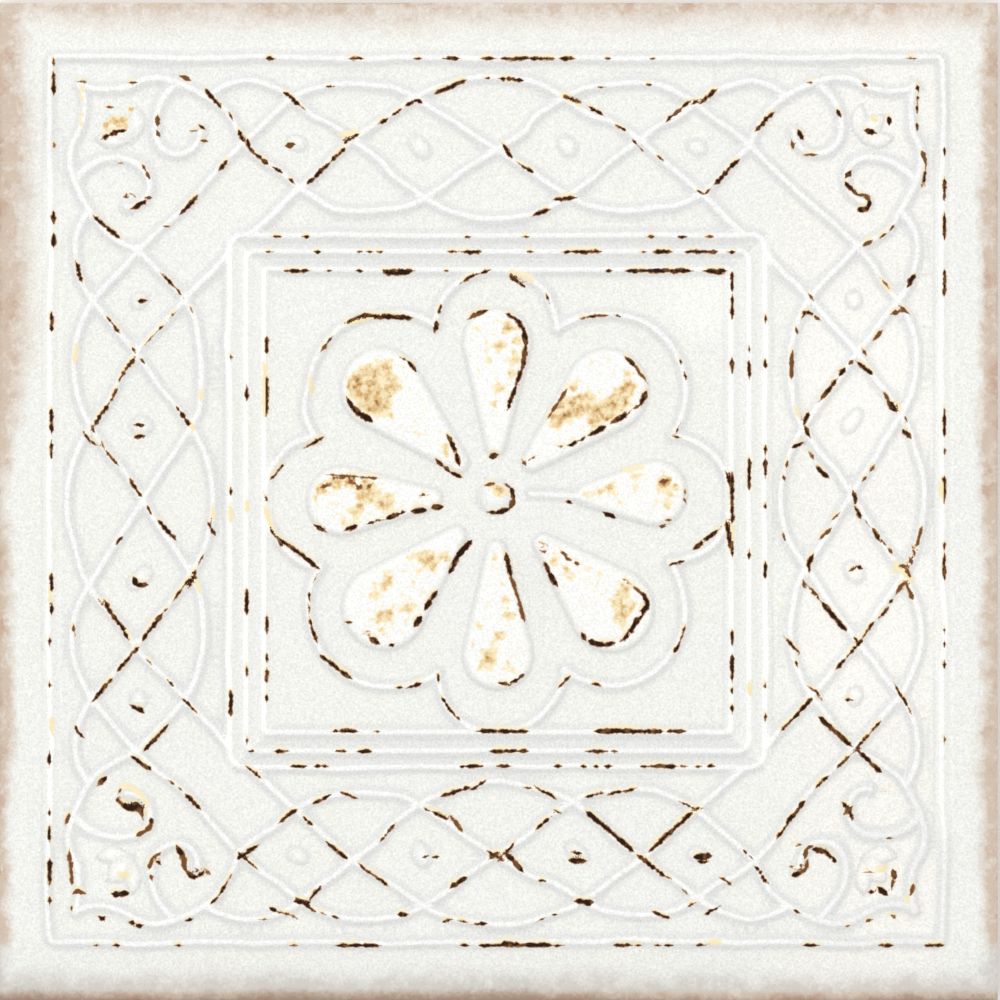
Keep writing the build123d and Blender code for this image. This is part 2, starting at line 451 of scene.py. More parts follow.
def relief(points):
    """The height of the face over its plain level, how far each point is from a ridge's crest, how
    deep it is in a petal, and how high it is on a dot, leaf, scroll ball, petal or the button."""
    z = regular_points(points)
    low, high = np.minimum(abs(z.real), abs(z.imag)), np.maximum(abs(z.real), abs(z.imag))
    folded = low + 1j * high
    over_axis = -folded.conjugate()
    over_diagonal = 1j * folded.conjugate()
    edge, tail, scroll, ball = panel_strands()
    ridges = [(square_distance(z, FRAME_HALF, FRAME_CORNER_RADIUS), RIDGE_BASE, RIDGE_HEIGHT)]
    halves = (MOULDING_OUTER, MOULDING_MIDDLE, MOULDING_INNER)
    for half, corner in zip(halves, MOULDING_CORNER_RADII):
        ridges.append((square_distance(z, half, corner), MOULDING_BASE, MOULDING_HEIGHT))
    for strand, mirrored in band_strands():
        ridges.append((distance(folded, strand), RIDGE_BASE, RIDGE_HEIGHT))
        if mirrored:
            ridges.append((distance(over_axis, strand), RIDGE_BASE, RIDGE_HEIGHT))
    for strand in (edge, tail):
        for seen in (folded, over_diagonal):
            ridges.append((distance(seen, strand), RIDGE_BASE, RIDGE_HEIGHT))
    end = complex(BAND_END, MIDDLE_ROW)
    ridges.append((distance(folded, [line(end, 1j * end.conjugate())]), RIDGE_BASE, RIDGE_HEIGHT))
    ridges.append((distance(folded, scroll), MOULDING_BASE, MOULDING_HEIGHT))
    for turn, spread in ((90, NOTCH_ANGLE), (45, 45 - NOTCH_ANGLE)):
        ridges.append((distance(folded, [lobe(turn, spread)]), RIDGE_BASE, RIDGE_HEIGHT))

    summed = np.zeros(len(points))
    across = np.full(len(points), FAR_OFF)
    brow = np.zeros(len(points))

    keel = line(placed(*KEEL_PIXELS[:2]), placed(*KEEL_PIXELS[2:]))
    ridges.append((distance(points, [keel]), KEEL_BASE, KEEL_HEIGHT))
    for away, base, height in ridges:
        rise = height * np.clip(1 - np.abs(away / (base / 2)) ** RIDGE_CREST, 0, 1) ** RIDGE_FOOT
        summed += rise**UNION_POWER
        across = nearer(across, away)

    def bulge(away, radius, rounding):
        return np.clip(1 - (away / radius) ** 2, 0, 1) ** rounding

    def raise_by(height, share):
        np.maximum(brow, share, out=brow)
        np.add(summed, (height * share) ** UNION_POWER, out=summed)

    for stop in (NEAR, THIRD):
        away = np.abs(folded - complex(stop, MIDDLE_ROW))
        raise_by(DOT_RISE, bulge(away, DOT_RADIUS, DOT_ROUNDING))
    raise_by(SCROLL_BALL_RISE, bulge(np.abs(folded - ball), SCROLL_BALL_RADIUS, DOT_ROUNDING))
    foot = (FRAME_HALF - LEAF_INSET) * (1 + 1j)
    for spread in (-LEAF_SPREAD, 0, LEAF_SPREAD):
        local = (folded - foot) * cmath.exp(-1j * math.radians(45 + spread))
        share = np.clip(local.real / LEAF_LENGTH, 0, 1)
        width = LEAF_HALF_WIDTH * np.sin(np.pi * share**LEAF_TAPER) + HAIR
        body = np.clip(1 - (local.imag / width) ** 2, 0, 1) * (local.real > 0)
        raise_by(LEAF_RISE, body * np.sqrt(np.sin(np.pi * share)))
    height = summed ** (1 / UNION_POWER)

    petal = np.full(len(points), -FAR_OFF)
    for one in PETALS:
        petal = np.maximum(petal, petal_depth(points, one))
    crown = smooth_step(petal / PETAL_FLANK)
    dome = 1 - PETAL_FALL * np.clip(1 - petal / PETAL_DOME, 0, 1)
    height = np.maximum(height, PETAL_RISE * crown * dome)
    button = bulge(np.abs(points - placed(*BUTTON_PIXEL)), BUTTON_RADIUS, BUTTON_ROUNDING)
    height = np.maximum(height, BUTTON_RISE * button)
    brow = np.maximum(brow, np.maximum(crown, button))
    return height, across, petal, brow


# The face is cut into square cells, small where there is relief and large where it is plain. The
# counts are in units of the smallest cell and the distances in millimetres.
FACE_CELLS = 768
BASE_CELL = 16
# How near relief has to be for a cell of each size to be cut in four, beside a share of its size
CELL_REACH = {16: 4.0, 8: 1.95, 4: 1.05}
CELL_SHARE = 0.1
# How deep in a wear mark a cell of the last size but one has to be
MARK_MARGIN = 0.03
# How far inside the rim of a dot or ball its relief counts, and how far from a petal's rim
ROUND_MARGIN = 1.2
PETAL_MARGIN = 0.2
# The middle of the three leaves, as a share of their length, and how far from it they reach
LEAF_SHARE = 0.6
LEAF_REACH = 4.5
FACE_HALF = TILE_SIDE / 2 - FACE_EDGE_RADIUS
CELL = 2 * FACE_HALF / FACE_CELLS


def relief_reach(points):
    """How far each point is from the nearest relief, in millimetres."""
    _, across, petal, _ = relief(points)
    z = regular_points(points)
    folded = np.minimum(abs(z.real), abs(z.imag)) + 1j * np.maximum(abs(z.real), abs(z.imag))
    reach = np.minimum(np.abs(across), np.abs(petal - PETAL_FLANK / 2) + PETAL_MARGIN)
    leaf_middle = (FRAME_HALF - LEAF_INSET + LEAF_SHARE * LEAF_LENGTH) * (1 + 1j)
    rounds = [(folded, complex(stop, MIDDLE_ROW), DOT_RADIUS - ROUND_MARGIN) for stop in (NEAR, THIRD)]
    rounds.append((folded, panel_strands()[3], SCROLL_BALL_RADIUS - ROUND_MARGIN))
    rounds.append((folded, leaf_middle, LEAF_REACH))
    rounds.append((points, placed(*BUTTON_PIXEL), BUTTON_RADIUS - ROUND_MARGIN))
    for where, middle, radius in rounds:
        reach = np.minimum(reach, np.abs(where - middle) - radius)
    return reach


def face_cells():
    """The cells of the face as (column, row, size), in units of the smallest cell."""
    steps = np.arange(0, FACE_CELLS, BASE_CELL)
    cells = np.array([(i, j) for i in steps for j in steps])
    size, leaves = BASE_CELL, []
    while size > 1:
        middle = (cells[:, 0] + 1j * cells[:, 1] + (1 + 1j) * size / 2) * CELL - FACE_HALF * (1 + 1j)
        if size > 2:
            near = relief_reach(middle) < CELL_REACH[size] + size * CELL * CELL_SHARE
        else:
            trail, worn, _ = stroke_fields(middle)
            near = worn - np.abs(trail) > MARK_MARGIN
        leaves.append((cells[~near], size))
        size //= 2
        corners = [(0, 0), (size, 0), (0, size), (size, size)]
        cells = np.concatenate([cells[near] + corner for corner in corners])
    leaves.append((cells, 1))
    return leaves


def face_mesh():
    """Grid points used by the cells, and the faces between them."""
    leaves = face_cells()
    used = np.zeros((FACE_CELLS + 1, FACE_CELLS + 1), bool)
    for cells, size in leaves:
        for di in (0, size):
            for dj in (0, size):
                used[cells[:, 0] + di, cells[:, 1] + dj] = True
    number = np.full(used.shape, -1)
    columns, rows = np.nonzero(used)
    number[columns, rows] = np.arange(len(columns))
    points = list(columns * CELL - FACE_HALF + 1j * (rows * CELL - FACE_HALF))
    faces = []
    for cells, size in leaves:
        for i, j in cells:
            ring, far_i, far_j = [], i + size, j + size
            for a, b, u, v in ((i, j, 1, 0), (far_i, j, 0, 1), (far_i, far_j, -1, 0), (i, far_j, 0, -1)):
                side = [number[a + u * k, b + v * k] for k in range(size)]
                ring += [k for k in side if k >= 0]
            if len(ring) == 4:
                faces.append(ring)
                continue
            points.append(complex(i + size / 2, j + size / 2) * CELL - FACE_HALF * (1 + 1j))
            hub = len(points) - 1
            faces += [(ring[k], ring[(k + 1) % len(ring)], hub) for k in range(len(ring))]
    edge = [number[k, 0] for k in range(FACE_CELLS)] + [number[FACE_CELLS, k] for k in range(FACE_CELLS)]
    edge += [number[FACE_CELLS - k, FACE_CELLS] for k in range(FACE_CELLS)]
    edge += [number[0, FACE_CELLS - k] for k in range(FACE_CELLS)]
    return np.array(points), faces, [k for k in edge if k >= 0]


# Wear along the crests, in pixels of the photograph: spans of the straight lines first, then
# short strokes from point to point. Each name says how dark and wide the marks are.
LINE_WEAR = (
    ("y", 59, ((268, 273), (352, 362), (417, 419), (445, 458), (484, 492), (503, 528), (533, 555),
               (560, 572), (606, 609), (651, 654), (910, 913))),
    ("x", 54, ((62, 66), (73, 93), (145, 148), (211, 222), (235, 246))),
    ("x", 52, ((315, 330), (410, 432), (444, 456), (575, 590), (605, 612))),
    ("x", 50, ((640, 643), (684, 687), (753, 763), (811, 814), (828, 840), (860, 885), (900, 903))),
    ("x", 944, ((150, 153), (180, 200), (217, 237), (272, 295), (408, 435), (450, 453), (478, 500),
                (545, 548), (557, 577), (628, 631), (643, 646), (663, 666), (738, 742))),
    ("y", 945, ((95, 98), (116, 120), (177, 181), (292, 296), (338, 362), (363, 378), (463, 467),
                (482, 502), (504, 525), (527, 550), (556, 559), (615, 630), (637, 640), (657, 660),
                (667, 670), (695, 703), (805, 818), (879, 891), (925, 943))),
    ("y", 237, ((275, 278), (305, 308), (465, 468), (524, 528), (649, 653), (680, 684), (708, 711))),
    ("y", 252, ((267, 270), (316, 320), (358, 361), (368, 371), (378, 381), (450, 453), (463, 480),
                (528, 532), (564, 568), (572, 598), (642, 645), (655, 670), (687, 715), (730, 733))),
    ("y", 271, ((286, 308), (327, 330), (358, 361), (385, 412), (445, 448), (606, 609), (628, 690),
                (705, 725))),
    ("x", 732, ((273, 290), (298, 316), (360, 372), (474, 522), (540, 555), (632, 645), (655, 680),
                (690, 693), (707, 710))),
    ("x", 749, ((349, 352), (362, 376), (460, 487), (553, 556))),
    ("x", 765, ((318, 321), (363, 366), (448, 451), (460, 475), (505, 508), (565, 577), (685, 688),
                (715, 718))),
    ("x", 267, ((338, 352), (378, 413), (618, 632), (657, 660), (670, 682), (697, 700))),
    ("x", 247, ((387, 397), (592, 612), (668, 675), (738, 741))),
    ("x", 231, ((357, 359), (490, 493), (693, 715))),
    ("y", 731, ((334, 337), (340, 355), (376, 379), (480, 528), (596, 662), (668, 683))),
    ("y", 751, ((251, 254), (277, 287), (338, 345), (360, 371), (492, 526), (588, 605), (613, 616))),
    ("y", 766, ((293, 305), (316, 319), (324, 327), (463, 466), (468, 480), (498, 510), (557, 560),
                (582, 585), (595, 598), (606, 609), (643, 646), (650, 675), (683, 686), (697, 700),
                (709, 712))),
)
BOLD_WEAR = (
    (238, 131, 242, 138), (248, 139, 255, 151), (257, 153, 266, 161), (223, 171, 230, 163),
    (183, 215, 200, 198), (133, 208, 145, 199), (97, 211, 122, 232), (285, 92, 297, 103),
    (340, 138, 353, 128), (405, 100, 420, 98), (500, 77, 520, 82), (312, 185, 330, 166),
    (333, 160, 343, 148), (713, 181, 738, 160), (534, 215, 547, 209), (758, 132, 775, 117),
    (76, 262, 84, 278), (123, 375, 136, 362), (93, 422, 104, 403), (162, 515, 178, 533),
    (178, 413, 187, 424), (194, 587, 200, 572), (143, 638, 162, 616), (125, 657, 138, 647),
    (94, 697, 112, 677), (183, 794, 197, 808), (851, 654, 865, 642), (802, 711, 813, 701),
    (782, 819, 800, 799), (755, 865, 768, 877), (444, 797, 468, 786), (634, 858, 660, 876),
    (435, 320, 432, 329), (104, 601, 123, 637),
)
FINE_WEAR = (
    (228, 117, 230, 119), (273, 168, 278, 172), (288, 181, 289, 182), (166, 231, 167, 231),
    (303, 105, 304, 106), (330, 88, 332, 87), (378, 122, 384, 117), (392, 112, 398, 109), (485, 78, 487, 78),
    (592, 101, 603, 108), (598, 86, 600, 86), (647, 85, 649, 86), (615, 122, 617, 121), (620, 128, 622, 130),
    (520, 165, 530, 172), (628, 144, 637, 153), (657, 157, 659, 158), (705, 190, 707, 188),
    (696, 193, 698, 194), (878, 233, 880, 231), (888, 226, 890, 224), (165, 270, 175, 281),
    (181, 288, 184, 292), (192, 308, 192, 311), (175, 317, 177, 315), (163, 330, 165, 328),
    (152, 338, 154, 336), (145, 347, 147, 345), (133, 346, 135, 348), (141, 357, 143, 358),
    (108, 318, 118, 330), (119, 380, 120, 378), (102, 400, 114, 386), (93, 429, 94, 427), (80, 437, 90, 447),
    (101, 444, 103, 447), (107, 450, 118, 462), (131, 479, 144, 491), (125, 482, 133, 490),
    (146, 509, 148, 511), (181, 406, 183, 410), (118, 540, 120, 538), (208, 520, 217, 530),
    (199, 557, 200, 559), (187, 588, 195, 580), (176, 600, 184, 591), (167, 611, 168, 609),
    (97, 600, 99, 604), (118, 668, 130, 656), (145, 662, 147, 664), (78, 625, 79, 628), (88, 697, 89, 695),
    (77, 721, 86, 731), (168, 682, 170, 684), (178, 702, 190, 712), (193, 710, 194, 712),
    (170, 780, 172, 782), (177, 789, 179, 791), (858, 633, 860, 635), (862, 645, 876, 625),
    (838, 668, 855, 650), (788, 636, 800, 645), (797, 660, 798, 662), (813, 682, 823, 692),
    (793, 716, 803, 705), (780, 728, 790, 717), (856, 748, 868, 732), (869, 730, 878, 722),
    (836, 765, 850, 755), (896, 685, 908, 712), (815, 784, 826, 775), (773, 830, 784, 820),
    (841, 803, 852, 815), (885, 791, 886, 792), (743, 848, 745, 850), (747, 860, 749, 861),
    (248, 766, 258, 778), (303, 815, 310, 822), (317, 805, 328, 796), (358, 866, 373, 882),
    (370, 877, 382, 888), (340, 793, 350, 800), (424, 806, 426, 807), (380, 838, 394, 825),
    (476, 790, 484, 781), (525, 785, 528, 785), (535, 786, 550, 798), (558, 804, 560, 805),
    (586, 800, 603, 793), (610, 797, 634, 788), (487, 850, 500, 860), (500, 858, 510, 842),
    (538, 880, 541, 882), (537, 827, 546, 816), (297, 896, 312, 910), (270, 905, 295, 918),
    (262, 920, 264, 920), (320, 915, 322, 915), (332, 917, 335, 918), (444, 926, 450, 924),
    (458, 924, 464, 924), (472, 922, 483, 918), (540, 921, 542, 921), (555, 917, 557, 916),
    (680, 807, 697, 812), (662, 878, 664, 880), (677, 892, 679, 894), (717, 880, 726, 888),
    (690, 902, 692, 903), (705, 917, 716, 905), (651, 913, 663, 921), (794, 915, 796, 915),
    (210, 899, 214, 896), (219, 890, 224, 885), (228, 882, 232, 877), (240, 848, 258, 862),
    (326, 351, 334, 340), (441, 312, 443, 308), (462, 280, 487, 271), (540, 297, 541, 300),
    (580, 320, 582, 320), (588, 318, 605, 318), (613, 319, 615, 320), (680, 357, 681, 358),
    (686, 373, 687, 376), (675, 427, 676, 429), (671, 436, 672, 438), (723, 473, 731, 492),
    (670, 562, 680, 556), (672, 650, 683, 627), (306, 452, 325, 441), (276, 480, 287, 467),
    (270, 493, 271, 495), (268, 530, 276, 547), (318, 573, 319, 575), (312, 592, 314, 596),
    (312, 604, 313, 610), (306, 620, 312, 640), (398, 685, 400, 685), (405, 686, 417, 679),
    (435, 675, 436, 677), (445, 694, 457, 708), (461, 712, 462, 713), (557, 682, 568, 675),
    (593, 687, 596, 687),
)
# Golden marks with no dark heart, again along the crests.
GOLD_WEAR = (
    (52, 584, 52, 600), (52, 718, 52, 730), (79, 352, 79, 360), (80, 343, 80, 347), (193, 422, 195, 428),
    (203, 392, 203, 398), (340, 130, 356, 126), (270, 365, 268, 413), (269, 505, 279, 530),
    (727, 522, 728, 552), (749, 684, 749, 692), (941, 480, 941, 500), (316, 378, 316, 390),
    (214, 509, 214, 517), (196, 572, 200, 588), (710, 941, 718, 941), (347, 322, 380, 312),
    (510, 276, 528, 284), (895, 562, 914, 575), (563, 90, 582, 100), (794, 406, 794, 414),
    (882, 279, 892, 284), (245, 500, 245, 510), (231, 505, 231, 520), (128, 638, 122, 630),
    (690, 812, 697, 806),
)
# The broadest dark marks of the bands, the mouldings and the flower, which lie where the photograph
# shows them and aren't moved onto a crest, with half their width.
BROAD_MARKS = (
    (667, 121, 671, 117, 1.6), (684, 106, 688, 103, 1.8), (694, 103, 697, 101, 1.7),
    (491, 857, 498, 852, 1.9), (587, 812, 632, 850, 2.05), (650, 850, 692, 812, 1.7),
    (820, 718, 850, 745, 2.15), (857, 750, 880, 771, 1.7), (505, 852, 522, 870, 2.05),
    (576, 901, 592, 902, 2.55), (597, 731, 662, 731, 2.05), (481, 731, 525, 731, 1.75),
    (502, 944, 520, 944, 2.35), (527, 944, 547, 944, 1.85), (695, 548, 718, 530, 1.95),
    (145, 750, 166, 727, 1.75), (133, 757, 150, 769, 1.7), (328, 843, 346, 857, 1.7),
    (296, 901, 309, 902, 2.35), (311, 898, 321, 886, 1.75), (451, 887, 466, 877, 1.95),
    (399, 914, 407, 914, 2.15), (321, 656, 351, 678, 1.7), (276, 536, 319, 568, 1.7),
    (434, 812, 446, 818, 1.75), (563, 97, 580, 102, 1.95), (555, 200, 575, 198, 1.7),
    (701, 103, 716, 90, 1.7), (925, 171, 923, 188, 1.75), (631, 271, 686, 271, 1.85),
    (709, 271, 722, 273, 1.75), (510, 276, 525, 287, 1.75), (503, 145, 511, 157, 1.7),
    (206, 90, 221, 108, 1.7), (437, 93, 465, 81, 1.7), (385, 273, 410, 273, 2.15), (348, 322, 362, 316, 1.7),
    (362, 316, 410, 318, 2.15), (240, 857, 257, 846, 1.7), (281, 821, 296, 810, 1.7),
    (726, 522, 731, 548, 1.75), (803, 316, 806, 312, 2), (806, 312, 811, 313, 1.8),
    (844, 369, 840, 375, 1.8), (835, 381, 820, 400, 1.8), (808, 413, 804, 424, 2.1),
    (805, 428, 809, 436, 1.8), (858, 363, 871, 374, 2.1), (888, 402, 895, 411, 2.5),
    (903, 430, 909, 437, 1.9), (914, 275, 908, 285, 2), (793, 447, 802, 443, 1.8), (816, 467, 828, 478, 2.1),
    (853, 492, 855, 501, 1.9), (855, 508, 860, 517, 1.8), (873, 530, 878, 539, 1.6),
    (812, 556, 808, 563, 2.1), (808, 563, 809, 572, 1.9), (810, 588, 818, 598, 1.3),
    (823, 604, 845, 630, 2.2), (889, 603, 892, 600, 1.7), (881, 616, 888, 608, 1.8),
    (944, 568, 944, 575, 2.4),
)
# Marks away from the crests, on dots, leaves, scroll balls and the edges of the petals, with half
# their width: first the dark ones, then the brown and last the golden.
DARK_MARKS = (
    (286, 146, 293, 145, 2), (139, 301, 145, 301, 2), (137, 425, 142, 425, 1.4), (136, 437, 143, 436, 2),
    (134, 578, 137, 585, 2.4), (137, 585, 147, 585, 2.4), (132, 706, 143, 712, 2.2),
    (851, 570, 853, 569, 1.8), (858, 567, 861, 568, 1.7), (846, 700, 850, 700, 1.8),
    (424, 857, 427, 856, 1.4), (435, 857, 438, 857, 1.4), (570, 860, 585, 861, 2.6), (573, 852, 580, 853, 2),
    (695, 857, 710, 856, 2.6), (699, 862, 706, 862, 1.8),
    # upper left corner
    (103, 139, 110, 135, 2.2), (110, 135, 118, 132, 2.5), (118, 132, 124, 131, 1.6),
    (200, 126, 204, 129, 1.8), (136, 207, 143, 202, 2.3), (79, 82, 83, 82, 1.3), (143, 166, 145, 169, 1.6),
    # upper right corner
    (863, 85, 866, 86, 2.1), (917, 87, 918, 90, 2.2), (917, 97, 917, 100, 1.9), (917, 107, 917, 110, 1.9),
    (917, 124, 917, 129, 1.9), (837, 111, 840, 116, 2), (865, 131, 874, 133, 2.6), (889, 117, 889, 123, 2.5),
    (798, 131, 803, 139, 2.2), (850, 172, 846, 177, 1.9), (845, 183, 852, 190, 2.3),
    (852, 190, 858, 195, 1.8), (869, 201, 868, 208, 2.6), (868, 209, 858, 210, 2.4),
    # lower left corner
    (99, 784, 105, 778, 2.6), (94, 918, 101, 918, 2.4), (101, 918, 107, 921, 2.7), (130, 922, 135, 923, 2.2),
    (137, 926, 142, 925, 2), (188, 920, 191, 919, 2.1), (113, 894, 119, 895, 2.8), (119, 895, 127, 893, 2.5),
    (116, 798, 121, 804, 1.8), (121, 804, 128, 808, 2.2), (127, 808, 140, 808, 2.8), (133, 803, 139, 805, 2),
    (139, 805, 142, 811, 2.3), (151, 818, 152, 824, 2), (157, 861, 159, 863, 2.4), (178, 847, 183, 856, 2.3),
    (187, 871, 192, 877, 2.2), (192, 877, 197, 877, 2.2), (198, 876, 203, 873, 1.7),
    # lower right corner
    (813, 849, 822, 850, 2.4), (822, 850, 829, 854, 2.5), (829, 855, 836, 862, 2), (793, 875, 800, 873, 2.4),
    (893, 870, 895, 877, 2.2), (879, 888, 886, 894, 2.6), (870, 892, 872, 892, 2),
    # the petals, from the right one anticlockwise, and the button
    (567, 502, 572, 503, 2.1), (605, 513, 614, 517, 1.9), (626, 358, 634, 366, 1.8),
    (646, 393, 640, 405, 2.4), (627, 414, 613, 422, 2.2), (605, 427, 590, 435, 2.2),
    (584, 438, 581, 440, 1.5), (575, 442, 569, 446, 1.8), (506, 314, 517, 320, 1.6),
    (517, 320, 524, 331, 2.1), (524, 331, 526, 345, 2.4), (526, 345, 523, 366, 2), (523, 366, 516, 386, 1.8),
    (516, 386, 508, 408, 1.8), (490, 457, 497, 455, 2.5), (477, 314, 486, 311, 1.7), (348, 399, 354, 409, 2),
    (354, 409, 361, 415, 2.6), (361, 415, 372, 421, 2.8), (409, 363, 415, 370, 1.8), (448, 436, 454, 447, 2),
    (454, 447, 459, 464, 1.9), (438, 461, 442, 466, 1.9), (445, 468, 449, 471, 1.7),
    (452, 473, 461, 477, 1.7), (316, 526, 325, 531, 2), (346, 530, 356, 526, 2.4), (370, 523, 373, 522, 1.9),
    (388, 518, 399, 514, 2.1), (402, 513, 405, 511, 1.5), (413, 511, 425, 510, 2.3),
    (433, 508, 441, 507, 2.4), (471, 541, 458, 556, 2.7), (458, 556, 450, 572, 2.2),
    (437, 591, 431, 600, 1.8), (431, 600, 425, 609, 2.4), (421, 617, 415, 626, 2.4),
    (391, 645, 393, 644, 2.1), (371, 638, 379, 643, 2.8), (348, 622, 351, 622, 1.8),
    (506, 554, 511, 576, 2.2), (501, 683, 508, 684, 1.8), (513, 681, 518, 679, 1.7),
    (520, 677, 523, 674, 1.7), (544, 562, 549, 573, 1.9), (549, 573, 556, 584, 2.3),
    (582, 634, 585, 639, 2.2), (589, 641, 603, 645, 2.7), (603, 645, 614, 643, 2.1),
    (622, 640, 628, 634, 1.8), (628, 634, 640, 615, 2.2), (640, 615, 648, 604, 2.5),
    (648, 604, 643, 594, 1.9), (511, 488, 514, 499, 1.8), (514, 500, 510, 508, 2.6),
    (509, 509, 497, 513, 2.4), (495, 513, 489, 512, 1.8),
)
BROWN_MARKS = (
    (451, 817, 461, 829, 1.5), (674, 115, 681, 109, 1.3), (863, 246, 871, 241, 1.5),
    (810, 296, 812, 299, 1.4), (814, 316, 818, 319, 1.4), (796, 329, 797, 332, 1), (792, 352, 791, 377, 1.7),
    (849, 364, 852, 361, 1.5), (884, 394, 888, 399, 1.2), (905, 418, 906, 420, 1.4),
    (863, 351, 865, 354, 1.6), (874, 339, 881, 332, 1.3), (892, 314, 898, 312, 1.5),
    (901, 308, 906, 312, 1.1), (882, 281, 890, 290, 1.2), (786, 467, 787, 462, 1.5),
    (783, 476, 784, 479, 1.6), (811, 455, 813, 458, 0.9), (870, 471, 873, 467, 1.4),
    (863, 480, 866, 477, 1.3), (866, 522, 868, 525, 1), (883, 542, 885, 545, 1), (888, 549, 891, 553, 1.5),
    (834, 518, 836, 516, 1), (822, 537, 828, 531, 1.4), (783, 535, 784, 538, 1.5), (803, 582, 804, 586, 1.5),
    (907, 570, 910, 578, 1.4), (910, 560, 911, 563, 1.8), (913, 550, 914, 554, 1.3),
    (917, 543, 921, 528, 1.1), (896, 593, 903, 584, 1.7), (906, 584, 912, 598, 1.7),
    (868, 630, 870, 627, 1.4), (899, 566, 906, 566, 1.2), (181, 76, 189, 80, 1.9), (131, 83, 134, 83, 1.4),
    (158, 117, 158, 125, 1.8), (158, 133, 159, 135, 2), (193, 131, 195, 131, 1.1), (203, 141, 205, 141, 1.8),
    (108, 107, 111, 107, 1.4), (120, 163, 123, 163, 1.2), (147, 173, 149, 177, 1.6),
    (125, 197, 128, 197, 1.3), (131, 194, 134, 196, 1.4), (148, 198, 151, 198, 1.9), (809, 83, 812, 83, 1.4),
    (806, 155, 808, 155, 1.8), (809, 155, 813, 155, 0.9), (792, 143, 793, 147, 1.2),
    (858, 195, 865, 195, 1.8), (865, 195, 869, 201, 2.3), (922, 153, 925, 162, 1.7), (70, 814, 66, 823, 1.7),
    (70, 853, 71, 861, 1.8), (71, 861, 72, 875, 1.4), (72, 875, 72, 884, 2), (74, 893, 78, 890, 1.8),
    (78, 890, 84, 893, 1.8), (72, 907, 72, 909, 1.5), (119, 792, 121, 789, 1.4), (141, 812, 143, 818, 1.2),
    (152, 824, 146, 831, 2), (146, 831, 137, 835, 1.9), (150, 867, 153, 858, 1.6), (153, 858, 160, 853, 1.3),
    (151, 875, 152, 879, 1.8), (183, 856, 185, 869, 2.5), (197, 869, 199, 871, 1.3), (207, 871, 208, 872, 1),
    (851, 807, 845, 813, 1.9), (884, 791, 886, 791, 1.1), (889, 838, 892, 838, 1.2),
    (796, 845, 798, 845, 1.3), (805, 856, 806, 849, 1.8), (806, 849, 811, 846, 1.6),
    (789, 866, 791, 866, 1.2), (800, 864, 801, 866, 1.2), (801, 873, 806, 868, 2.1),
    (806, 868, 807, 863, 1.6), (893, 880, 892, 887, 1.8), (866, 872, 868, 872, 1), (913, 885, 911, 893, 2),
    (867, 921, 871, 920, 2.3), (891, 917, 896, 917, 2.1), (846, 926, 849, 925, 1.5),
    (634, 366, 645, 380, 1.1), (565, 392, 548, 418, 1.2), (635, 408, 638, 407, 1.3),
    (559, 447, 562, 446, 1.2), (533, 458, 535, 457, 1.2), (523, 461, 525, 464, 2), (403, 359, 405, 360, 1.3),
    (470, 318, 478, 313, 1.4), (322, 487, 333, 484, 1.5), (339, 487, 351, 483, 1.6),
    (352, 487, 370, 487, 1.9), (332, 475, 376, 478, 0.8), (422, 495, 425, 495, 1.5), (379, 520, 382, 520, 1),
    (661, 526, 663, 526, 1.7), (667, 520, 669, 520, 1.2), (685, 491, 685, 493, 1.6),
    (684, 499, 685, 501, 1.7), (660, 482, 668, 480, 2.1), (511, 576, 518, 598, 1.3),
    (518, 598, 524, 619, 1.5), (365, 633, 367, 632, 1.2), (643, 594, 632, 586, 1.2),
    (632, 586, 626, 581, 0.8), (562, 552, 570, 560, 1.2), (573, 562, 580, 565, 1.3),
    (597, 575, 604, 580, 1.5), (542, 543, 544, 544, 1.4), (542, 551, 544, 552, 1.6),
    (486, 485, 495, 483, 1.3), (505, 484, 509, 487, 1.3),
)
GOLD_MARKS = (
    (894, 571, 899, 567, 1.3), (941, 486, 941, 494, 1.6), (888, 287, 891, 291, 1.3),
    (898, 406, 900, 410, 1.5), (83, 89, 83, 92, 1.5), (82, 98, 83, 100, 1.6), (82, 114, 84, 116, 2.3),
    (81, 123, 82, 126, 2), (122, 788, 129, 787, 1.3), (129, 787, 141, 794, 1.2), (142, 795, 149, 806, 0.9),
    (120, 876, 129, 875, 1.6), (877, 871, 887, 868, 1.3), (907, 897, 908, 901, 1.8),
    (626, 471, 641, 468, 1.1),
)
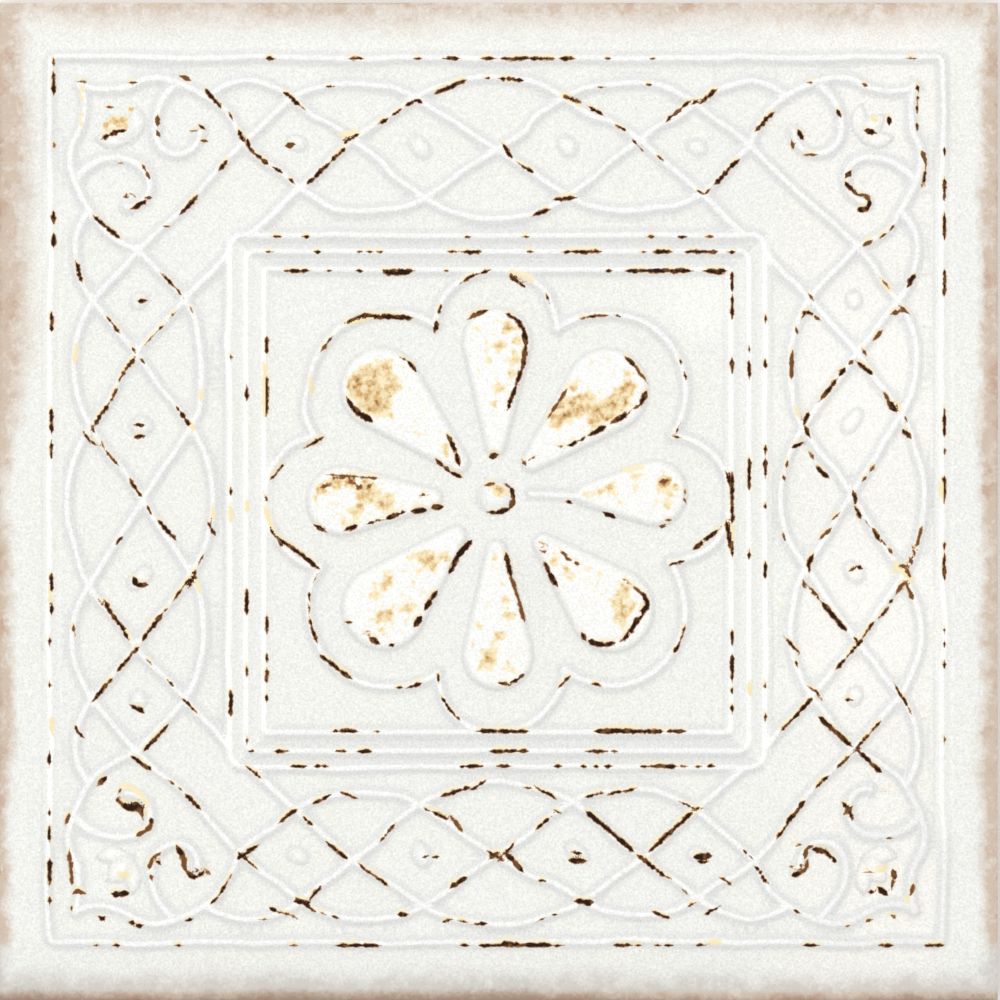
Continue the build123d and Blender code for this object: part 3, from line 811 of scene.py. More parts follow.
# Where the gilt shows through: centre, radius and strength. It fades out a little past the radius.
GILT_FADE = 1.25
GILT = (
    # the leaves of the corners
    (107, 125, 6, 1), (114, 120, 7, 1.05), (123, 122, 7, 1.1), (126, 127, 4, 1), (114, 113, 6, 0.5),
    (131, 109, 5, 0.95), (108, 130, 5, 0.7), (117, 126, 5, 0.7), (874, 119, 6, 0.8), (882, 123, 5, 0.6),
    (856, 199, 5, 0.5), (124, 801, 6, 0.5), (146, 812, 5, 0.5), (154, 860, 5, 0.7), (187, 860, 5, 0.6),
    (205, 868, 5, 0.5), (812, 858, 5, 0.4), (890, 878, 5, 0.5), (913, 889, 5, 0.7),
    # the button and the petals, from the right one anticlockwise
    (499, 490, 8, 1.1), (492, 486, 5, 0.8), (507, 492, 5, 0.8), (612, 486, 6, 0.9), (603, 491, 5, 0.6),
    (634, 478, 6, 0.7), (664, 482, 8, 1.2), (675, 487, 5, 0.9), (668, 503, 5, 1.1), (665, 495, 5, 0.6),
    (618, 500, 6, 0.4), (590, 495, 8, 0.5), (556, 419, 10, 1.15), (568, 409, 13, 1.4), (582, 404, 12, 1.4),
    (592, 415, 9, 1.2), (605, 411, 11, 1.4), (617, 402, 12, 1.4), (627, 389, 9, 1.25), (628, 374, 6, 0.85),
    (571, 386, 8, 0.55), (594, 424, 6, 1), (508, 326, 7, 1), (516, 340, 7, 0.9), (496, 348, 6, 0.9),
    (486, 360, 5, 0.7), (515, 358, 8, 0.75), (512, 375, 7, 0.65), (497, 392, 5, 1), (493, 405, 5, 0.7),
    (472, 328, 4, 0.5), (490, 335, 5, 0.4), (371, 386, 22, 1.7), (386, 372, 11, 1.3), (397, 384, 8, 0.95),
    (379, 402, 13, 1.5), (357, 385, 12, 1.35), (365, 400, 12, 1.3), (446, 448, 6, 0.5), (448, 458, 5, 0.5),
    (320, 489, 7, 1.1), (335, 483, 8, 1), (350, 484, 9, 1.1), (368, 486, 9, 1.1), (368, 494, 12, 1.2),
    (386, 501, 10, 1.2), (352, 513, 6, 0.9), (345, 519, 7, 0.7), (392, 508, 5, 0.8), (315, 497, 4, 0.7),
    (378, 590, 7, 1.2), (386, 580, 7, 1.1), (425, 558, 9, 1.2), (420, 570, 6, 1), (432, 563, 8, 1.1),
    (447, 558, 7, 0.75), (410, 605, 9, 0.6), (384, 617, 9, 0.9), (380, 628, 6, 0.7), (412, 556, 6, 0.6),
    (507, 600, 5, 0.9), (510, 615, 6, 1.2), (498, 638, 6, 0.9), (490, 655, 5, 1.25), (484, 666, 7, 0.7),
    (511, 666, 8, 0.6), (478, 625, 6, 0.45), (472, 645, 4, 0.5), (496, 558, 5, 0.4), (556, 560, 8, 0.6),
    (567, 572, 5, 0.8), (607, 592, 5, 1), (622, 590, 7, 1.2), (627, 603, 9, 1), (622, 613, 8, 1),
    (620, 623, 6, 0.9), (600, 612, 4, 0.5), (592, 578, 5, 0.5),
)
# Half the widths of the marks along the crests, in pixels. The rest is in millimetres: how their
# ends narrow, and the lengths between which a stroke may be.
LINE_HALF, BOLD_HALF, FINE_HALF, GOLD_HALF = 1.5, 1.85, 1.2, 1.5
END_TAPER = 0.7
END_WIDTH = 0.5
END_NARROWEST = -4
MARK_SEARCH = 2.5
LONGEST_STROKE = 3.0
SHORTEST_STROKE = 0.05
# The marks along the crests lie a little to their lower right, and the halo to the upper left
# of the marks.
WEAR_SLIP = complex(0.25, -0.3)
HALO_SLIP = complex(-0.15, 0.55)
# How far a stroke may move sideways to find its crest, in how many tries, at what cost for each
# millimetre, and how far one of its points may stray from the rest.
CREST_CATCH = 1.2
CREST_TRIES = 25
SHIFT_COST = 0.1
OWN_SHIFT = 0.35
DARK, BROWN, GOLD = 0.0, 1.0, 2.0


def crest_strokes(table):
    """The strokes of a table, moved sideways onto the crest that each follows and cut into runs."""
    shifts = np.linspace(-CREST_CATCH, CREST_CATCH, CREST_TRIES)
    stops, sides = [], []
    for x0, y0, x1, y1 in table:
        a, b = placed(x0, y0), placed(x1, y1)
        runs = 2 * math.ceil(abs(b - a) / LONGEST_STROKE)
        stops.append(a + (b - a) * np.arange(runs + 1) / runs)
        sides.append(1j * (b - a) / abs(b - a))
    tried = [(at[:, None] + side * shifts).ravel() for at, side in zip(stops, sides)]
    away = np.abs(relief(np.concatenate(tried))[1])
    away = np.split(away, np.cumsum([len(one) for one in tried])[:-1])
    found = []
    for at, side, measured in zip(stops, sides, away):
        measured = measured.reshape(len(at), CREST_TRIES)
        whole = shifts[np.argmin(measured.mean(0) + SHIFT_COST * np.abs(shifts))]
        allowed = np.abs(shifts - whole) < OWN_SHIFT
        own = shifts[np.argmin(np.where(allowed, measured, FAR_OFF), axis=1)]
        points = at + side * own + WEAR_SLIP
        found += zip(points[:-1], points[1:])
    return found


def strokes():
    """Every mark as its two ends, half its width and its colour."""
    found = []
    for axis, level, spans in LINE_WEAR:
        for start, end in spans:
            ends = (start, level, end, level) if axis == "y" else (level, start, level, end)
            found.append((placed(*ends[:2]), placed(*ends[2:]), LINE_HALF, DARK))
    along_crests = ((BOLD_WEAR, BOLD_HALF, DARK), (FINE_WEAR, FINE_HALF, DARK), (GOLD_WEAR, GOLD_HALF, GOLD))
    for table, half, tone in along_crests:
        found += [(a, b, half, tone) for a, b in crest_strokes(table)]
    as_drawn = ((BROAD_MARKS, DARK), (DARK_MARKS, DARK), (BROWN_MARKS, BROWN), (GOLD_MARKS, GOLD))
    for table, tone in as_drawn:
        found += [(placed(x0, y0), placed(x1, y1), half, tone) for x0, y0, x1, y1, half in table]
    return [mark for mark in found if abs(mark[1] - mark[0]) > SHORTEST_STROKE]


ALL_STROKES = strokes()


def stroke_fields(points):
    """For each point the signed distance from the nearest mark's middle line, half the width of
    that mark and its colour."""
    trail = np.full(len(points), FAR_OFF)
    worn = np.full(len(points), -1.0)
    tone = np.zeros(len(points))
    for a, b, half, shade in ALL_STROKES:
        length = abs(b - a)
        near = np.flatnonzero(np.abs(points - (a + b) / 2) < length / 2 + MARK_SEARCH)
        local = (points[near] - a) * ((b - a) / length).conjugate()
        inside = np.minimum(local.real, length - local.real) / END_TAPER + END_WIDTH
        width = half / PIXELS_PER_MM * np.clip(inside, END_NARROWEST, 1)
        better = width - np.abs(local.imag) > worn[near] - np.abs(trail[near])
        chosen = near[better]
        trail[chosen], worn[chosen], tone[chosen] = local.imag[better], width[better], shade
    return trail, worn, tone


def wear_fields(points):
    trail, worn, tone = stroke_fields(points)
    above, above_worn, _ = stroke_fields(points - HALO_SLIP)
    gilt = np.zeros(len(points))
    for x, y, radius, strength in GILT:
        away = np.abs(points - placed(x, y)) * PIXELS_PER_MM
        gilt = np.maximum(gilt, strength * smooth_step(GILT_FADE - away / radius))
    return {
        "trail": trail,
        "trail_reach": np.abs(trail),
        "worn": worn,
        "tone": tone,
        "halo": above_worn - np.abs(above),
        "gilt": gilt,
    }


# The whole piece: the face, its rounded edge, the sides and the keyed back.
EDGE_STEPS = 5
SIDE_LEVELS = (4.5, 3.0, 1.6)
FOOT_CHAMFER = 0.5
FOOT_SLOPE = 0.6
# A key's wall as it rises: how far it has moved in, and its height
KEY_WALL = ((0.0, 0.0), (0.12, 0.12), (0.3, KEY_DEPTH - 0.12), (0.5, KEY_DEPTH))
KEY_CORNER_STEPS = 4
SHARP_ANGLE = 50
# What each attribute says where the face has no such thing
PLAIN = {"across": FAR_OFF, "crest": FAR_OFF, "trail": FAR_OFF, "trail_reach": FAR_OFF}
PLAIN |= {"brow": 0.0, "gilt": 0.0, "tone": 0.0}
FAR_BELOW = -2.0


def add_ring(vertices, faces, edge, last, half, z):
    """A ring of points like the face's edge, joined to the last ring."""
    scale = half / FACE_HALF
    base = len(vertices)
    vertices.extend((vertices[k][0] * scale, vertices[k][1] * scale, z) for k in edge)
    fresh = list(range(base, base + len(edge)))
    for k in range(len(edge)):
        after = (k + 1) % len(edge)
        faces.append((last[k], fresh[k], fresh[after], last[after]))
    return fresh


def add_sides(vertices, faces, edge):
    """The rounded edge, the sides and the chamfer at their foot, and the ring where they end."""
    ring = edge
    for step in range(1, EDGE_STEPS + 1):
        angle = math.pi / 2 * step / EDGE_STEPS
        half = FACE_HALF + FACE_EDGE_RADIUS * math.sin(angle)
        level = BODY_THICKNESS - FACE_EDGE_RADIUS * (1 - math.cos(angle))
        ring = add_ring(vertices, faces, edge, ring, half, level)
    for level in (*SIDE_LEVELS, FOOT_CHAMFER):
        ring = add_ring(vertices, faces, edge, ring, TILE_SIDE / 2, level)
    return add_ring(vertices, faces, edge, ring, TILE_SIDE / 2 - FOOT_CHAMFER * FOOT_SLOPE, 0.0)


def rounded_square(half, corner, z):
    ring = []
    for turn in range(4):
        for step in range(KEY_CORNER_STEPS + 1):
            angle = math.radians(90 * (turn + step / KEY_CORNER_STEPS))
            centre = (half - corner) * (1 + 1j) * 1j**turn
            point = centre + corner * cmath.exp(1j * angle)
            ring.append((point.real, point.imag, z))
    return ring


def add_key(vertices, faces, middle, half):
    """One shallow pocket of the back, and the rim of its mouth."""
    rings = []
    for inset, z in KEY_WALL:
        base = len(vertices)
        rounded = rounded_square(half - inset, KEY_CORNER, z)
        vertices.extend((x + middle[0], y + middle[1], z) for x, y, z in rounded)
        rings.append(list(range(base, base + len(rounded))))
    for last, fresh in zip(rings, rings[1:]):
        for k in range(len(fresh)):
            after = (k + 1) % len(fresh)
            faces.append((last[k], last[after], fresh[after], fresh[k]))
    faces.append(tuple(reversed(rings[-1])))
    return rings[0]


def add_keys(vertices, faces):
    pitch = (TILE_SIDE - 2 * KEY_MARGIN + KEY_RIB) / KEY_COUNT
    stops = [(k - (KEY_COUNT - 1) / 2) * pitch for k in range(KEY_COUNT)]
    return [add_key(vertices, faces, (x, y), (pitch - KEY_RIB) / 2) for x in stops for y in stops]


def fill_back(mesh, rims):
    """The flat of the back between the tile's foot and the mouths of the keys."""
    work = bmesh.new()
    work.from_mesh(mesh)
    work.verts.ensure_lookup_table()
    flat_edges = []
    for rim in rims:
        for k in range(len(rim)):
            pair = (work.verts[rim[k]], work.verts[rim[(k + 1) % len(rim)]])
            flat_edges.append(work.edges.get(pair))
    bmesh.ops.triangle_fill(work, use_beauty=True, use_dissolve=False, edges=flat_edges, normal=(0, 0, -1))
    bmesh.ops.recalc_face_normals(work, faces=work.faces)
    work.to_mesh(mesh)
    work.free()


def tile_object():
    points, faces, edge = face_mesh()
    height, across, petal, brow = relief(points)
    fields = {"across": across, "crest": np.abs(across), "petal": petal, "brow": brow}
    fields |= wear_fields(points)
    vertices = [(point.real, point.imag, BODY_THICKNESS + rise) for point, rise in zip(points, height)]
    rims = [add_sides(vertices, faces, edge)] + add_keys(vertices, faces)

    mesh = bpy.data.meshes.new("glazed_tile")
    mesh.from_pydata([tuple(c * MM for c in v) for v in vertices], [], faces)
    fill_back(mesh, rims)
    for name, values in fields.items():
        filled = np.full(len(mesh.vertices), PLAIN.get(name, FAR_BELOW))
        filled[: len(values)] = values
        mesh.attributes.new(name, "FLOAT", "POINT").data.foreach_set("value", filled.astype(np.float32))
    mesh.shade_smooth()
    mesh.set_sharp_from_angle(angle=math.radians(SHARP_ANGLE))
    tile = bpy.data.objects.new("glazed_tile", mesh)
    bpy.context.scene.collection.objects.link(tile)
    return tile


class Shader:
    """A short way to write a material's nodes."""

    def __init__(self, name):
        self.material = bpy.data.materials.new(name)
        self.material.use_nodes = True
        self.tree = self.material.node_tree
        self.surface = self.tree.nodes["Principled BSDF"]
        self.place = self.tree.nodes.new("ShaderNodeTexCoord").outputs["Object"]

    def feed(self, socket, value):
        if isinstance(value, bpy.types.NodeSocket):
            self.tree.links.new(value, socket)
        elif isinstance(value, tuple):
            socket.default_value = (*value, 1.0)
        else:
            socket.default_value = value

    def attribute(self, name):
        node = self.tree.nodes.new("ShaderNodeAttribute")
        node.attribute_name = name
        return node.outputs["Fac"]

    def math(self, operation, a, b=0.0, c=0.0, clamp=False):
        node = self.tree.nodes.new("ShaderNodeMath")
        node.operation = operation
        node.use_clamp = clamp
        for socket, value in zip(node.inputs, (a, b, c)):
            self.feed(socket, value)
        return node.outputs[0]

    def plus(self, a, b):
        return self.math("ADD", a, b)

    def minus(self, a, b):
        return self.math("SUBTRACT", a, b)

    def times(self, a, b):
        return self.math("MULTIPLY", a, b)

    def scaled(self, value, factor, offset):
        return self.math("MULTIPLY_ADD", value, factor, offset)

    def size_of(self, value):
        return self.math("ABSOLUTE", value)

    def least(self, first, *others):
        for other in others:
            first = self.math("MINIMUM", first, other)
        return first

    def most(self, first, *others):
        for other in others:
            first = self.math("MAXIMUM", first, other)
        return first

    def noise(self, grain, detail, rough, seed):
        """Noise from 0 to 1 whose blotches are about grain millimetres across."""
        node = self.tree.nodes.new("ShaderNodeTexNoise")
        node.noise_dimensions = "4D"
        self.feed(node.inputs["Vector"], self.place)
        self.feed(node.inputs["W"], seed)
        self.feed(node.inputs["Scale"], 1 / (grain * MM))
        self.feed(node.inputs["Detail"], detail)
        self.feed(node.inputs["Roughness"], rough)
        return node.outputs[0]

    def step(self, value, low, high, to_low=0.0, to_high=1.0):
        """Goes smoothly from to_low to to_high while the value goes from low to high."""
        node = self.tree.nodes.new("ShaderNodeMapRange")
        node.interpolation_type = "SMOOTHSTEP"
        for socket, given in zip(node.inputs, (value, low, high, to_low, to_high)):
            self.feed(socket, given)
        return node.outputs[0]

    def blend(self, share, a, b, how="MIX"):
        node = self.tree.nodes.new("ShaderNodeMix")
        node.data_type = "RGBA"
        node.blend_type = how
        self.feed(node.inputs["Factor"], share)
        self.feed(node.inputs["A"], a)
        self.feed(node.inputs["B"], b)
        return node.outputs["Result"]

    def grey(self, value):
        node = self.tree.nodes.new("ShaderNodeCombineColor")
        for socket in node.inputs[:3]:
            self.feed(socket, value)
        return node.outputs[0]

    def bump(self, height, depth, normal=None):
        node = self.tree.nodes.new("ShaderNodeBump")
        self.feed(node.inputs["Height"], height)
        node.inputs["Distance"].default_value = depth * MM
        if normal:
            self.feed(node.inputs["Normal"], normal)
        return node.outputs[0]


# Colours, linear
GLAZE = (0.90, 0.90, 0.85)
GLAZE_COOL = (0.89, 0.895, 0.86)
GLAZE_WARM = (0.95, 0.93, 0.88)
# painted highlight on the crests of the ridges and the tops of the petals, dots and button
PAINTED_CREST_HIGHLIGHT = (0.965, 0.965, 0.945)
# a stronger painted highlight on the crests of the upright mouldings and frame lines
PAINTED_UPRIGHT_HIGHLIGHT = (0.995, 0.995, 0.98)
# painted shade, laid at the feet of the ridges and on the flanks of the round relief and the petals
PAINTED_SHADE_GREY = (0.80, 0.805, 0.785)
WORN_DARK = (0.022, 0.007, 0.004)
WORN_RUSSET = (0.25, 0.11, 0.035)
WORN_BROWN = (0.40, 0.17, 0.06)
HALO_CREAM = (0.93, 0.84, 0.58)
GILT_PALE = (0.96, 0.83, 0.52)
GILT_TAN = (0.72, 0.46, 0.19)
GILT_BROWN = (0.32, 0.15, 0.05)
EDGE_BEIGE = (0.60, 0.45, 0.33)
EDGE_RUST = (0.50, 0.29, 0.17)
EDGE_GREY = (0.60, 0.56, 0.52)
EDGE_BROWN = (0.30, 0.19, 0.13)
BISQUE = (0.66, 0.52, 0.40)
BISQUE_DARK = (0.50, 0.36, 0.27)
FLOOR_PALE = (0.88, 0.88, 0.87)

# Where the upright lines of the mouldings and of the frame line lie, which get a painted highlight, to the
# side of the tile's middle:
# where each begins, is full, is still full and ends.
UPRIGHT_HIGHLIGHT_BANDS = ((44.8, 45.6, 54.2, 55.0), (87.0, 87.6, 90.8, 91.4))
# How far the middle line of a crest or mark may be missed between two points of the mesh
CREST_SLACK = 0.35
TRAIL_SLACK = 0.2
# Where the face is lighter than the rest: centre and radius in pixels of the photograph, and how much.
TONE_PATCHES = ((855, 380, 130, 0.04), (855, 620, 130, 0.04), (700, 300, 55, 0.06), (110, 855, 70, 0.02))
PATCH_HEART = 0.3
# How rough and how shiny the glaze is, how rough the worn places and the clay, and the bumps' depths
GLAZE_ROUGH = 0.42
WORN_ROUGH = 0.75
GLAZE_SHINE = 0.15
PIT_DEPTH = -0.12
PEEL_DEPTH = 0.05
WAVE_DEPTH = 0.12


def upright_highlight_mask(s, x, y):
    """Where the upright mouldings and frame lines are, which get a painted highlight and less painted shade
    at their feet, fading towards the corners.
    """
    wide, tall = s.size_of(x), s.size_of(y)
    bands = [s.times(s.step(wide, a, b), s.step(wide, d, c)) for a, b, c, d in UPRIGHT_HIGHLIGHT_BANDS]
    beside = s.step(s.minus(wide, tall), -0.3, 0.3)
    return s.times(s.times(s.most(*bands), beside), s.step(tall, 76.0, 58.0, 0.1, 1.0))


def plain_glaze(s, x):
    """The uneven white of the glaze, warmer towards the right edge."""
    colour = s.blend(s.step(s.noise(28, 3, 0.55, 0.0), 0.4, 0.62), GLAZE, GLAZE_COOL)
    warm = s.times(s.step(x, 45, 75), s.step(x, 92, 86, 0.0, 0.7))
    return s.blend(warm, colour, GLAZE_WARM)


def ridge_painted_light(s, colour, x, y, upright):
    """Painted shade: grey at the feet of the ridges and on the flanks of the dots, balls, leaves, petals and
    button. Painted highlight: white on the crests and tops, fainter in the lower right corner.
    """
    # where the painted highlight on the crests is fainter
    highlight_fade = s.times(s.step(x, 50.0, 80.0), s.step(y, -40.0, -75.0))
    brow = s.attribute("brow")
    away = s.most(s.size_of(s.attribute("across")), s.minus(s.attribute("crest"), CREST_SLACK))
    # painted shade on the flanks of the dots, balls, leaves, petals and button
    flank = s.times(s.step(brow, 0.0, 0.12), s.step(brow, 0.8, 0.35))
    # painted shade at the feet of the ridges, lighter on the upright lines
    foot = s.times(s.step(away, 2.1, 1.1), s.step(upright, 1.0, 0.0, 0.35, 1.0))
    colour = s.blend(s.most(flank, foot), colour, PAINTED_SHADE_GREY)
    # painted highlight along the crests of the ridges
    crest = s.times(s.step(away, 0.66, 0.22), s.step(highlight_fade, 0.0, 1.0, 0.93, 0.6))
    # painted highlight on the tops of the petals, dots, balls, leaves and button
    painted_highlight = s.most(s.step(brow, 0.8, 0.99, 0.0, 0.95), crest)
    # the painted highlight is stronger on the upright lines
    return s.blend(painted_highlight, colour, s.blend(upright, PAINTED_CREST_HIGHLIGHT, PAINTED_UPRIGHT_HIGHLIGHT))


def grained(s, colour, x, y, upright, fleck):
    """The colour with its fine grain, and lighter or darker where the photograph is."""
    tone = s.plus(s.times(s.noise(0.42, 2, 0.6, 3.0), 0.62), s.scaled(fleck, 0.06, 0.66))
    below_the_frame = s.step(y, -86.0, -92.0, 0.0, -0.03)
    # a painted highlight that lifts the upright lines
    tone = s.scaled(upright, 0.035, s.plus(tone, below_the_frame))
    for pixel_x, pixel_y, radius, change in TONE_PATCHES:
        middle = placed(pixel_x, pixel_y)
        from_x, from_y = s.minus(x, middle.real), s.minus(y, middle.imag)
        apart = s.math("SQRT", s.scaled(from_x, from_x, s.times(from_y, from_y)))
        radius /= PIXELS_PER_MM
        tone = s.plus(tone, s.step(apart, radius, PATCH_HEART * radius, 0.0, change))
    return s.blend(1.0, colour, s.grey(tone), "MULTIPLY")


def mark_depths(s):
    """How deep each point is in a wear mark and in the halo beside it, with ragged outlines."""
    breakup, gaps = s.noise(0.75, 3, 0.6, 7.0), s.noise(1.6, 2, 0.5, 8.0)
    shake = s.plus(s.scaled(breakup, 0.8, -0.4), s.scaled(gaps, 0.9, -0.43))
    trail = s.most(s.size_of(s.attribute("trail")), s.minus(s.attribute("trail_reach"), TRAIL_SLACK))
    mark = s.plus(s.minus(s.attribute("worn"), trail), shake)
    return mark, s.plus(s.attribute("halo"), shake)


def halo_colours(s, colour, mark, halo):
    share = s.most(s.step(halo, -0.5, 0.1, 0.0, 0.9), s.step(mark, -0.4, -0.05, 0.0, 0.5))
    share = s.times(share, s.step(s.noise(3.5, 2, 0.5, 11.0), 0.34, 0.54))
    return s.blend(share, colour, HALO_CREAM)


def gilding(s, colour):
    """The blotches of worn gilt, from pale through tan to brown."""
    shown = s.plus(s.attribute("gilt"), s.step(s.attribute("petal"), 1.6, 2.4, 0.0, 0.22))
    shown = s.plus(shown, s.scaled(s.noise(1.6, 5, 0.66, 5.0), 2.4, -1.68))
    hue = s.noise(1.6, 4, 0.65, 9.0)
    colour = s.blend(s.step(shown, -0.15, 0.12, 0.0, 0.9), colour, GILT_PALE)
    colour = s.blend(s.times(s.step(shown, 0.05, 0.5), s.step(hue, 0.36, 0.6)), colour, GILT_TAN)
    return s.blend(s.times(s.step(shown, 0.3, 0.75), s.step(hue, 0.53, 0.7)), colour, GILT_BROWN)


def mark_colours(s, colour, mark):
    """The wear marks, dark or russet in the middle and brown round it, and how bare each point is."""
    kind = s.attribute("tone")
    fringe = s.blend(s.step(kind, 1.3, 1.7), WORN_BROWN, GILT_PALE)
    colour = s.blend(s.step(mark, -0.22, 0.04), colour, fringe)
    heart = s.times(s.step(mark, -0.04, 0.2), s.step(kind, 1.7, 1.3))
    patchy = s.step(s.noise(2.0, 2, 0.5, 23.0), 0.5, 0.68, 0.0, 0.7)
    russet = s.most(patchy, s.times(s.step(kind, 0.3, 0.7), 0.7))
    return s.blend(heart, colour, s.blend(russet, WORN_DARK, WORN_RUSSET)), heart


def stain_colours(s, colour, x, y, fleck):
    """The beige and brown stain along the edges, and how strong it is."""
    half = TILE_SIDE / 2
    left, right, low, high = s.plus(x, half), s.minus(half, x), s.plus(y, half), s.minus(half, y)
    drift = s.noise(22.0, 3, 0.6, 13.0)
    wobble = s.plus(s.scaled(drift, 6.0, -3.0), s.scaled(s.noise(4.0, 4, 0.7, 15.0), 4.5, -2.25))
    # how far in the stain begins, how far in it is full, and how strong it then is
    sides = (
        (left, s.step(y, 0.0, 32.0, 4.0, 9.3), 0.2, 1.12),
        (right, s.step(y, 0.0, -50.0, 4.8, 5.8), 1.6, 1.0),
        (low, 8.2, 1.0, 1.25),
        (high, 8.2, -1.5, 0.97),
    )
    stain = s.most(*(s.step(s.plus(away, wobble), reach, full, 0.0, top) for away, reach, full, top in sides))
    speck = s.scaled(s.noise(0.8, 3, 0.7, 19.0), 1.2, 0.4)
    speck = s.times(speck, s.step(s.noise(2.6, 4, 0.7, 27.0), 0.35, 0.65, 0.7, 1.3))
    stained = s.math("MULTIPLY", stain, speck, clamp=True)
    rust = s.times(s.step(s.noise(7.0, 4, 0.65, 29.0), 0.5, 0.66), s.step(stain, 0.5, 1.0))
    # the stain along the lower edge is greyer than the rest
    greyed = s.times(s.step(low, 1.2, 2.8), s.step(low, 13.0, 9.0))
    stain_colour = s.blend(greyed, s.blend(rust, EDGE_BEIGE, EDGE_RUST), EDGE_GREY)
    colour = s.blend(s.times(stained, 0.8), colour, stain_colour)

    # the burnt rim, widest along the left half of the lower edge
    rim = s.plus(s.least(s.minus(left, 0.5), right, s.minus(high, 0.3)), 2.0)
    rim = s.least(rim, s.minus(low, s.step(x, 40.0, 10.0, 0.0, 0.6)))
    burnt = s.plus(s.plus(rim, s.scaled(fleck, 4.0, -2.0)), s.scaled(drift, 5.0, -2.5))
    return s.blend(s.step(burnt, 2.4, -0.6, 0.0, 0.75), colour, EDGE_BROWN), stained


def clay_colours(s, colour, z):
    """The bare clay of the back, which the glaze runs down to unevenly, and how bare each point is."""
    bare = s.step(s.plus(z, s.scaled(s.noise(6, 4, 0.6, 21.0), 3.0, -1.5)), 2.6, 2.0)
    clay = s.plus(s.noise(14.0, 3, 0.6, 41.0), s.noise(1.6, 3, 0.7, 43.0))
    return s.blend(bare, colour, s.blend(s.step(clay, 0.85, 1.3, 0.0, 0.55), BISQUE, BISQUE_DARK)), bare


def glaze_material():
    s = Shader("crackled_white_glaze")
    split = s.tree.nodes.new("ShaderNodeSeparateXYZ")
    s.feed(split.inputs[0], s.place)
    x, y, z = (s.times(out, 1 / MM) for out in split.outputs)
    # the upright lines, which get a painted highlight and less painted shade
    upright = upright_highlight_mask(s, x, y)
    fleck = s.noise(1.1, 4, 0.75, 17.0)

    colour = ridge_painted_light(s, plain_glaze(s, x), x, y, upright)
    colour = grained(s, colour, x, y, upright, fleck)
    mark, halo = mark_depths(s)
    colour = gilding(s, halo_colours(s, colour, mark, halo))
    colour, heart = mark_colours(s, colour, mark)
    colour, stained = stain_colours(s, colour, x, y, fleck)
    colour, bare = clay_colours(s, colour, z)
    s.feed(s.surface.inputs["Base Color"], colour)

    worn = s.most(heart, stained, bare)
    s.feed(s.surface.inputs["Roughness"], s.step(worn, 0.0, 1.0, GLAZE_ROUGH, WORN_ROUGH))
    s.surface.inputs["IOR"].default_value = 1.5
    s.surface.inputs["Specular IOR Level"].default_value = GLAZE_SHINE
    pits = s.bump(heart, PIT_DEPTH)
    peel = s.bump(s.noise(0.8, 3, 0.6, 31.0), PEEL_DEPTH, pits)
    s.feed(s.surface.inputs["Normal"], s.bump(s.noise(7, 2, 0.5, 37.0), WAVE_DEPTH, peel))
    return s.material


# The studio, in metres. The floor lies a hair below the tile so that no two faces share a plane.
FLOOR_REACH = 1.5
FLOOR_GAP = 0.0001
FLOOR_ROUGH = 0.9
WORLD_LIGHT = 0.935
LAMP_PLACE = (-0.4, 0.95, 0.75)
LAMP_SIZE = 0.6
LAMP_ENERGY = 2.5
PHOTO_MIDDLE = (500, 500)
LENS = 120
SENSOR_WIDTH = 36
CLIP_START = 0.01


def floor_object():
    s = Shader("pale_floor")
    s.feed(s.surface.inputs["Base Color"], FLOOR_PALE)
    s.surface.inputs["Roughness"].default_value = FLOOR_ROUGH
    mesh = bpy.data.meshes.new("floor")
    signs = ((-1, -1), (1, -1), (1, 1), (-1, 1))
    mesh.from_pydata([(a * FLOOR_REACH, b * FLOOR_REACH, -FLOOR_GAP) for a, b in signs], [], [(0, 1, 2, 3)])
    mesh.materials.append(s.material)
    floor = bpy.data.objects.new("floor", mesh)
    bpy.context.scene.collection.objects.link(floor)
    return floor


def build():
    tile = tile_object()
    tile.data.materials.append(glaze_material())
    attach(tile, "root")
    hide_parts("tile")
    floor_object()


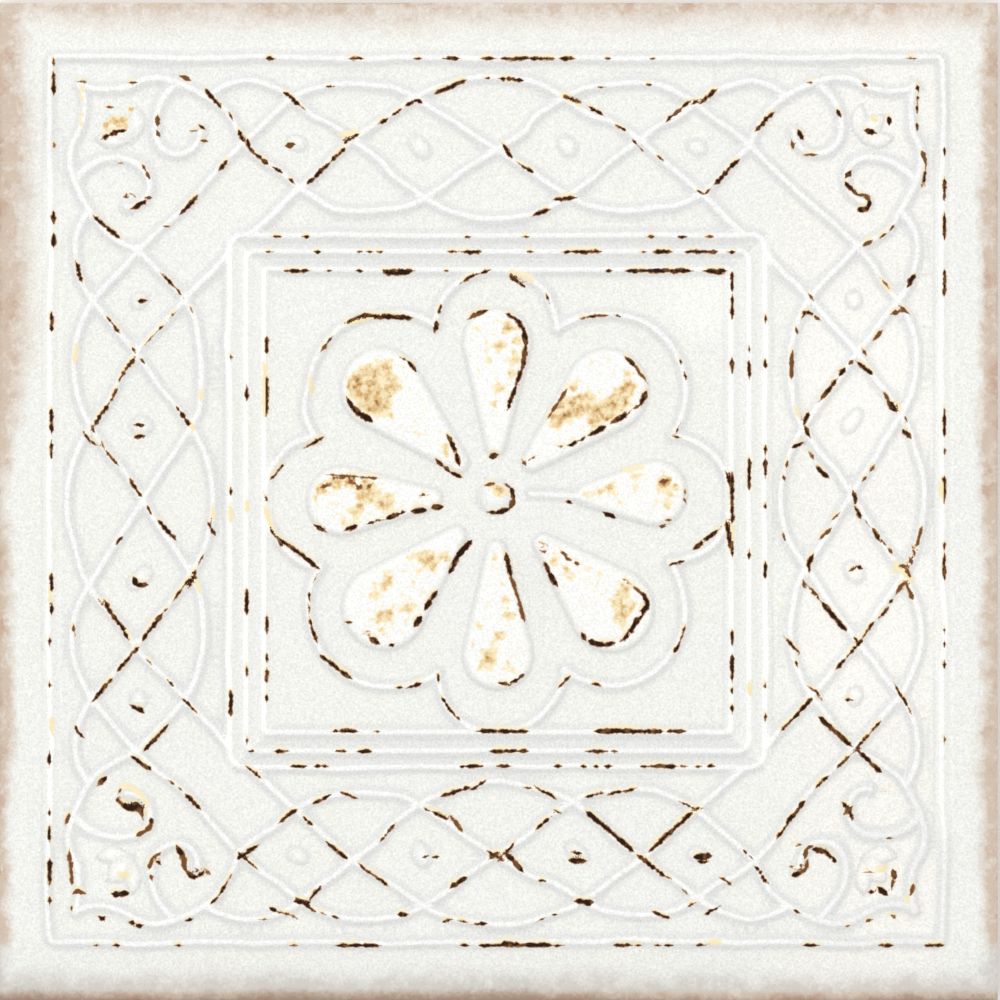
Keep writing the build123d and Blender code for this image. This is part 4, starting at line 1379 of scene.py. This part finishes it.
def add_lamp():
    """One soft lamp behind the tile, turned to its middle."""
    lamp = bpy.data.lights.new("top_light", "AREA")
    lamp.shape = "SQUARE"
    lamp.size = LAMP_SIZE
    lamp.energy = LAMP_ENERGY
    thing = bpy.data.objects.new("top_light", lamp)
    bpy.context.scene.collection.objects.link(thing)
    thing.location = Vector(LAMP_PLACE)
    thing.rotation_euler = (-thing.location).to_track_quat("-Z", "Y").to_euler()


def add_world():
    """Even light from all round, which the camera and reflections see as white."""
    world = bpy.data.worlds.new("studio")
    bpy.context.scene.world = world
    world.use_nodes = True
    tree = world.node_tree
    background = tree.nodes["Background"]
    background.inputs["Color"].default_value = (1, 1, 1, 1)
    background.inputs["Strength"].default_value = WORLD_LIGHT
    rays = tree.nodes.new("ShaderNodeLightPath")
    white = tree.nodes.new("ShaderNodeBackground")
    white.inputs["Strength"].default_value = 1.0
    mix = tree.nodes.new("ShaderNodeMixShader")
    seen = tree.nodes.new("ShaderNodeMath")
    seen.operation = "MAXIMUM"
    tree.links.new(rays.outputs["Is Camera Ray"], seen.inputs[0])
    tree.links.new(rays.outputs["Is Glossy Ray"], seen.inputs[1])
    tree.links.new(seen.outputs[0], mix.inputs[0])
    tree.links.new(background.outputs[0], mix.inputs[1])
    tree.links.new(white.outputs[0], mix.inputs[2])
    tree.links.new(mix.outputs[0], tree.nodes["World Output"].inputs["Surface"])


def add_camera():
    """The photograph's view, straight down, with its middle in the middle."""
    camera = bpy.data.cameras.new("camera")
    camera.lens = LENS
    camera.sensor_width = SENSOR_WIDTH
    camera.clip_start = CLIP_START
    half_view = PHOTO_MIDDLE[0] / PIXELS_PER_MM * MM
    height = half_view * LENS / (SENSOR_WIDTH / 2)
    centre = placed(*PHOTO_MIDDLE)
    thing = bpy.data.objects.new("camera", camera)
    thing.location = Vector((centre.real * MM, centre.imag * MM, BODY_THICKNESS * MM + height))
    bpy.context.scene.collection.objects.link(thing)
    bpy.context.scene.camera = thing


build()
add_world()
add_lamp()
add_camera()
bpy.context.scene.view_settings.view_transform = "Standard"
bpy.context.view_layer.update()
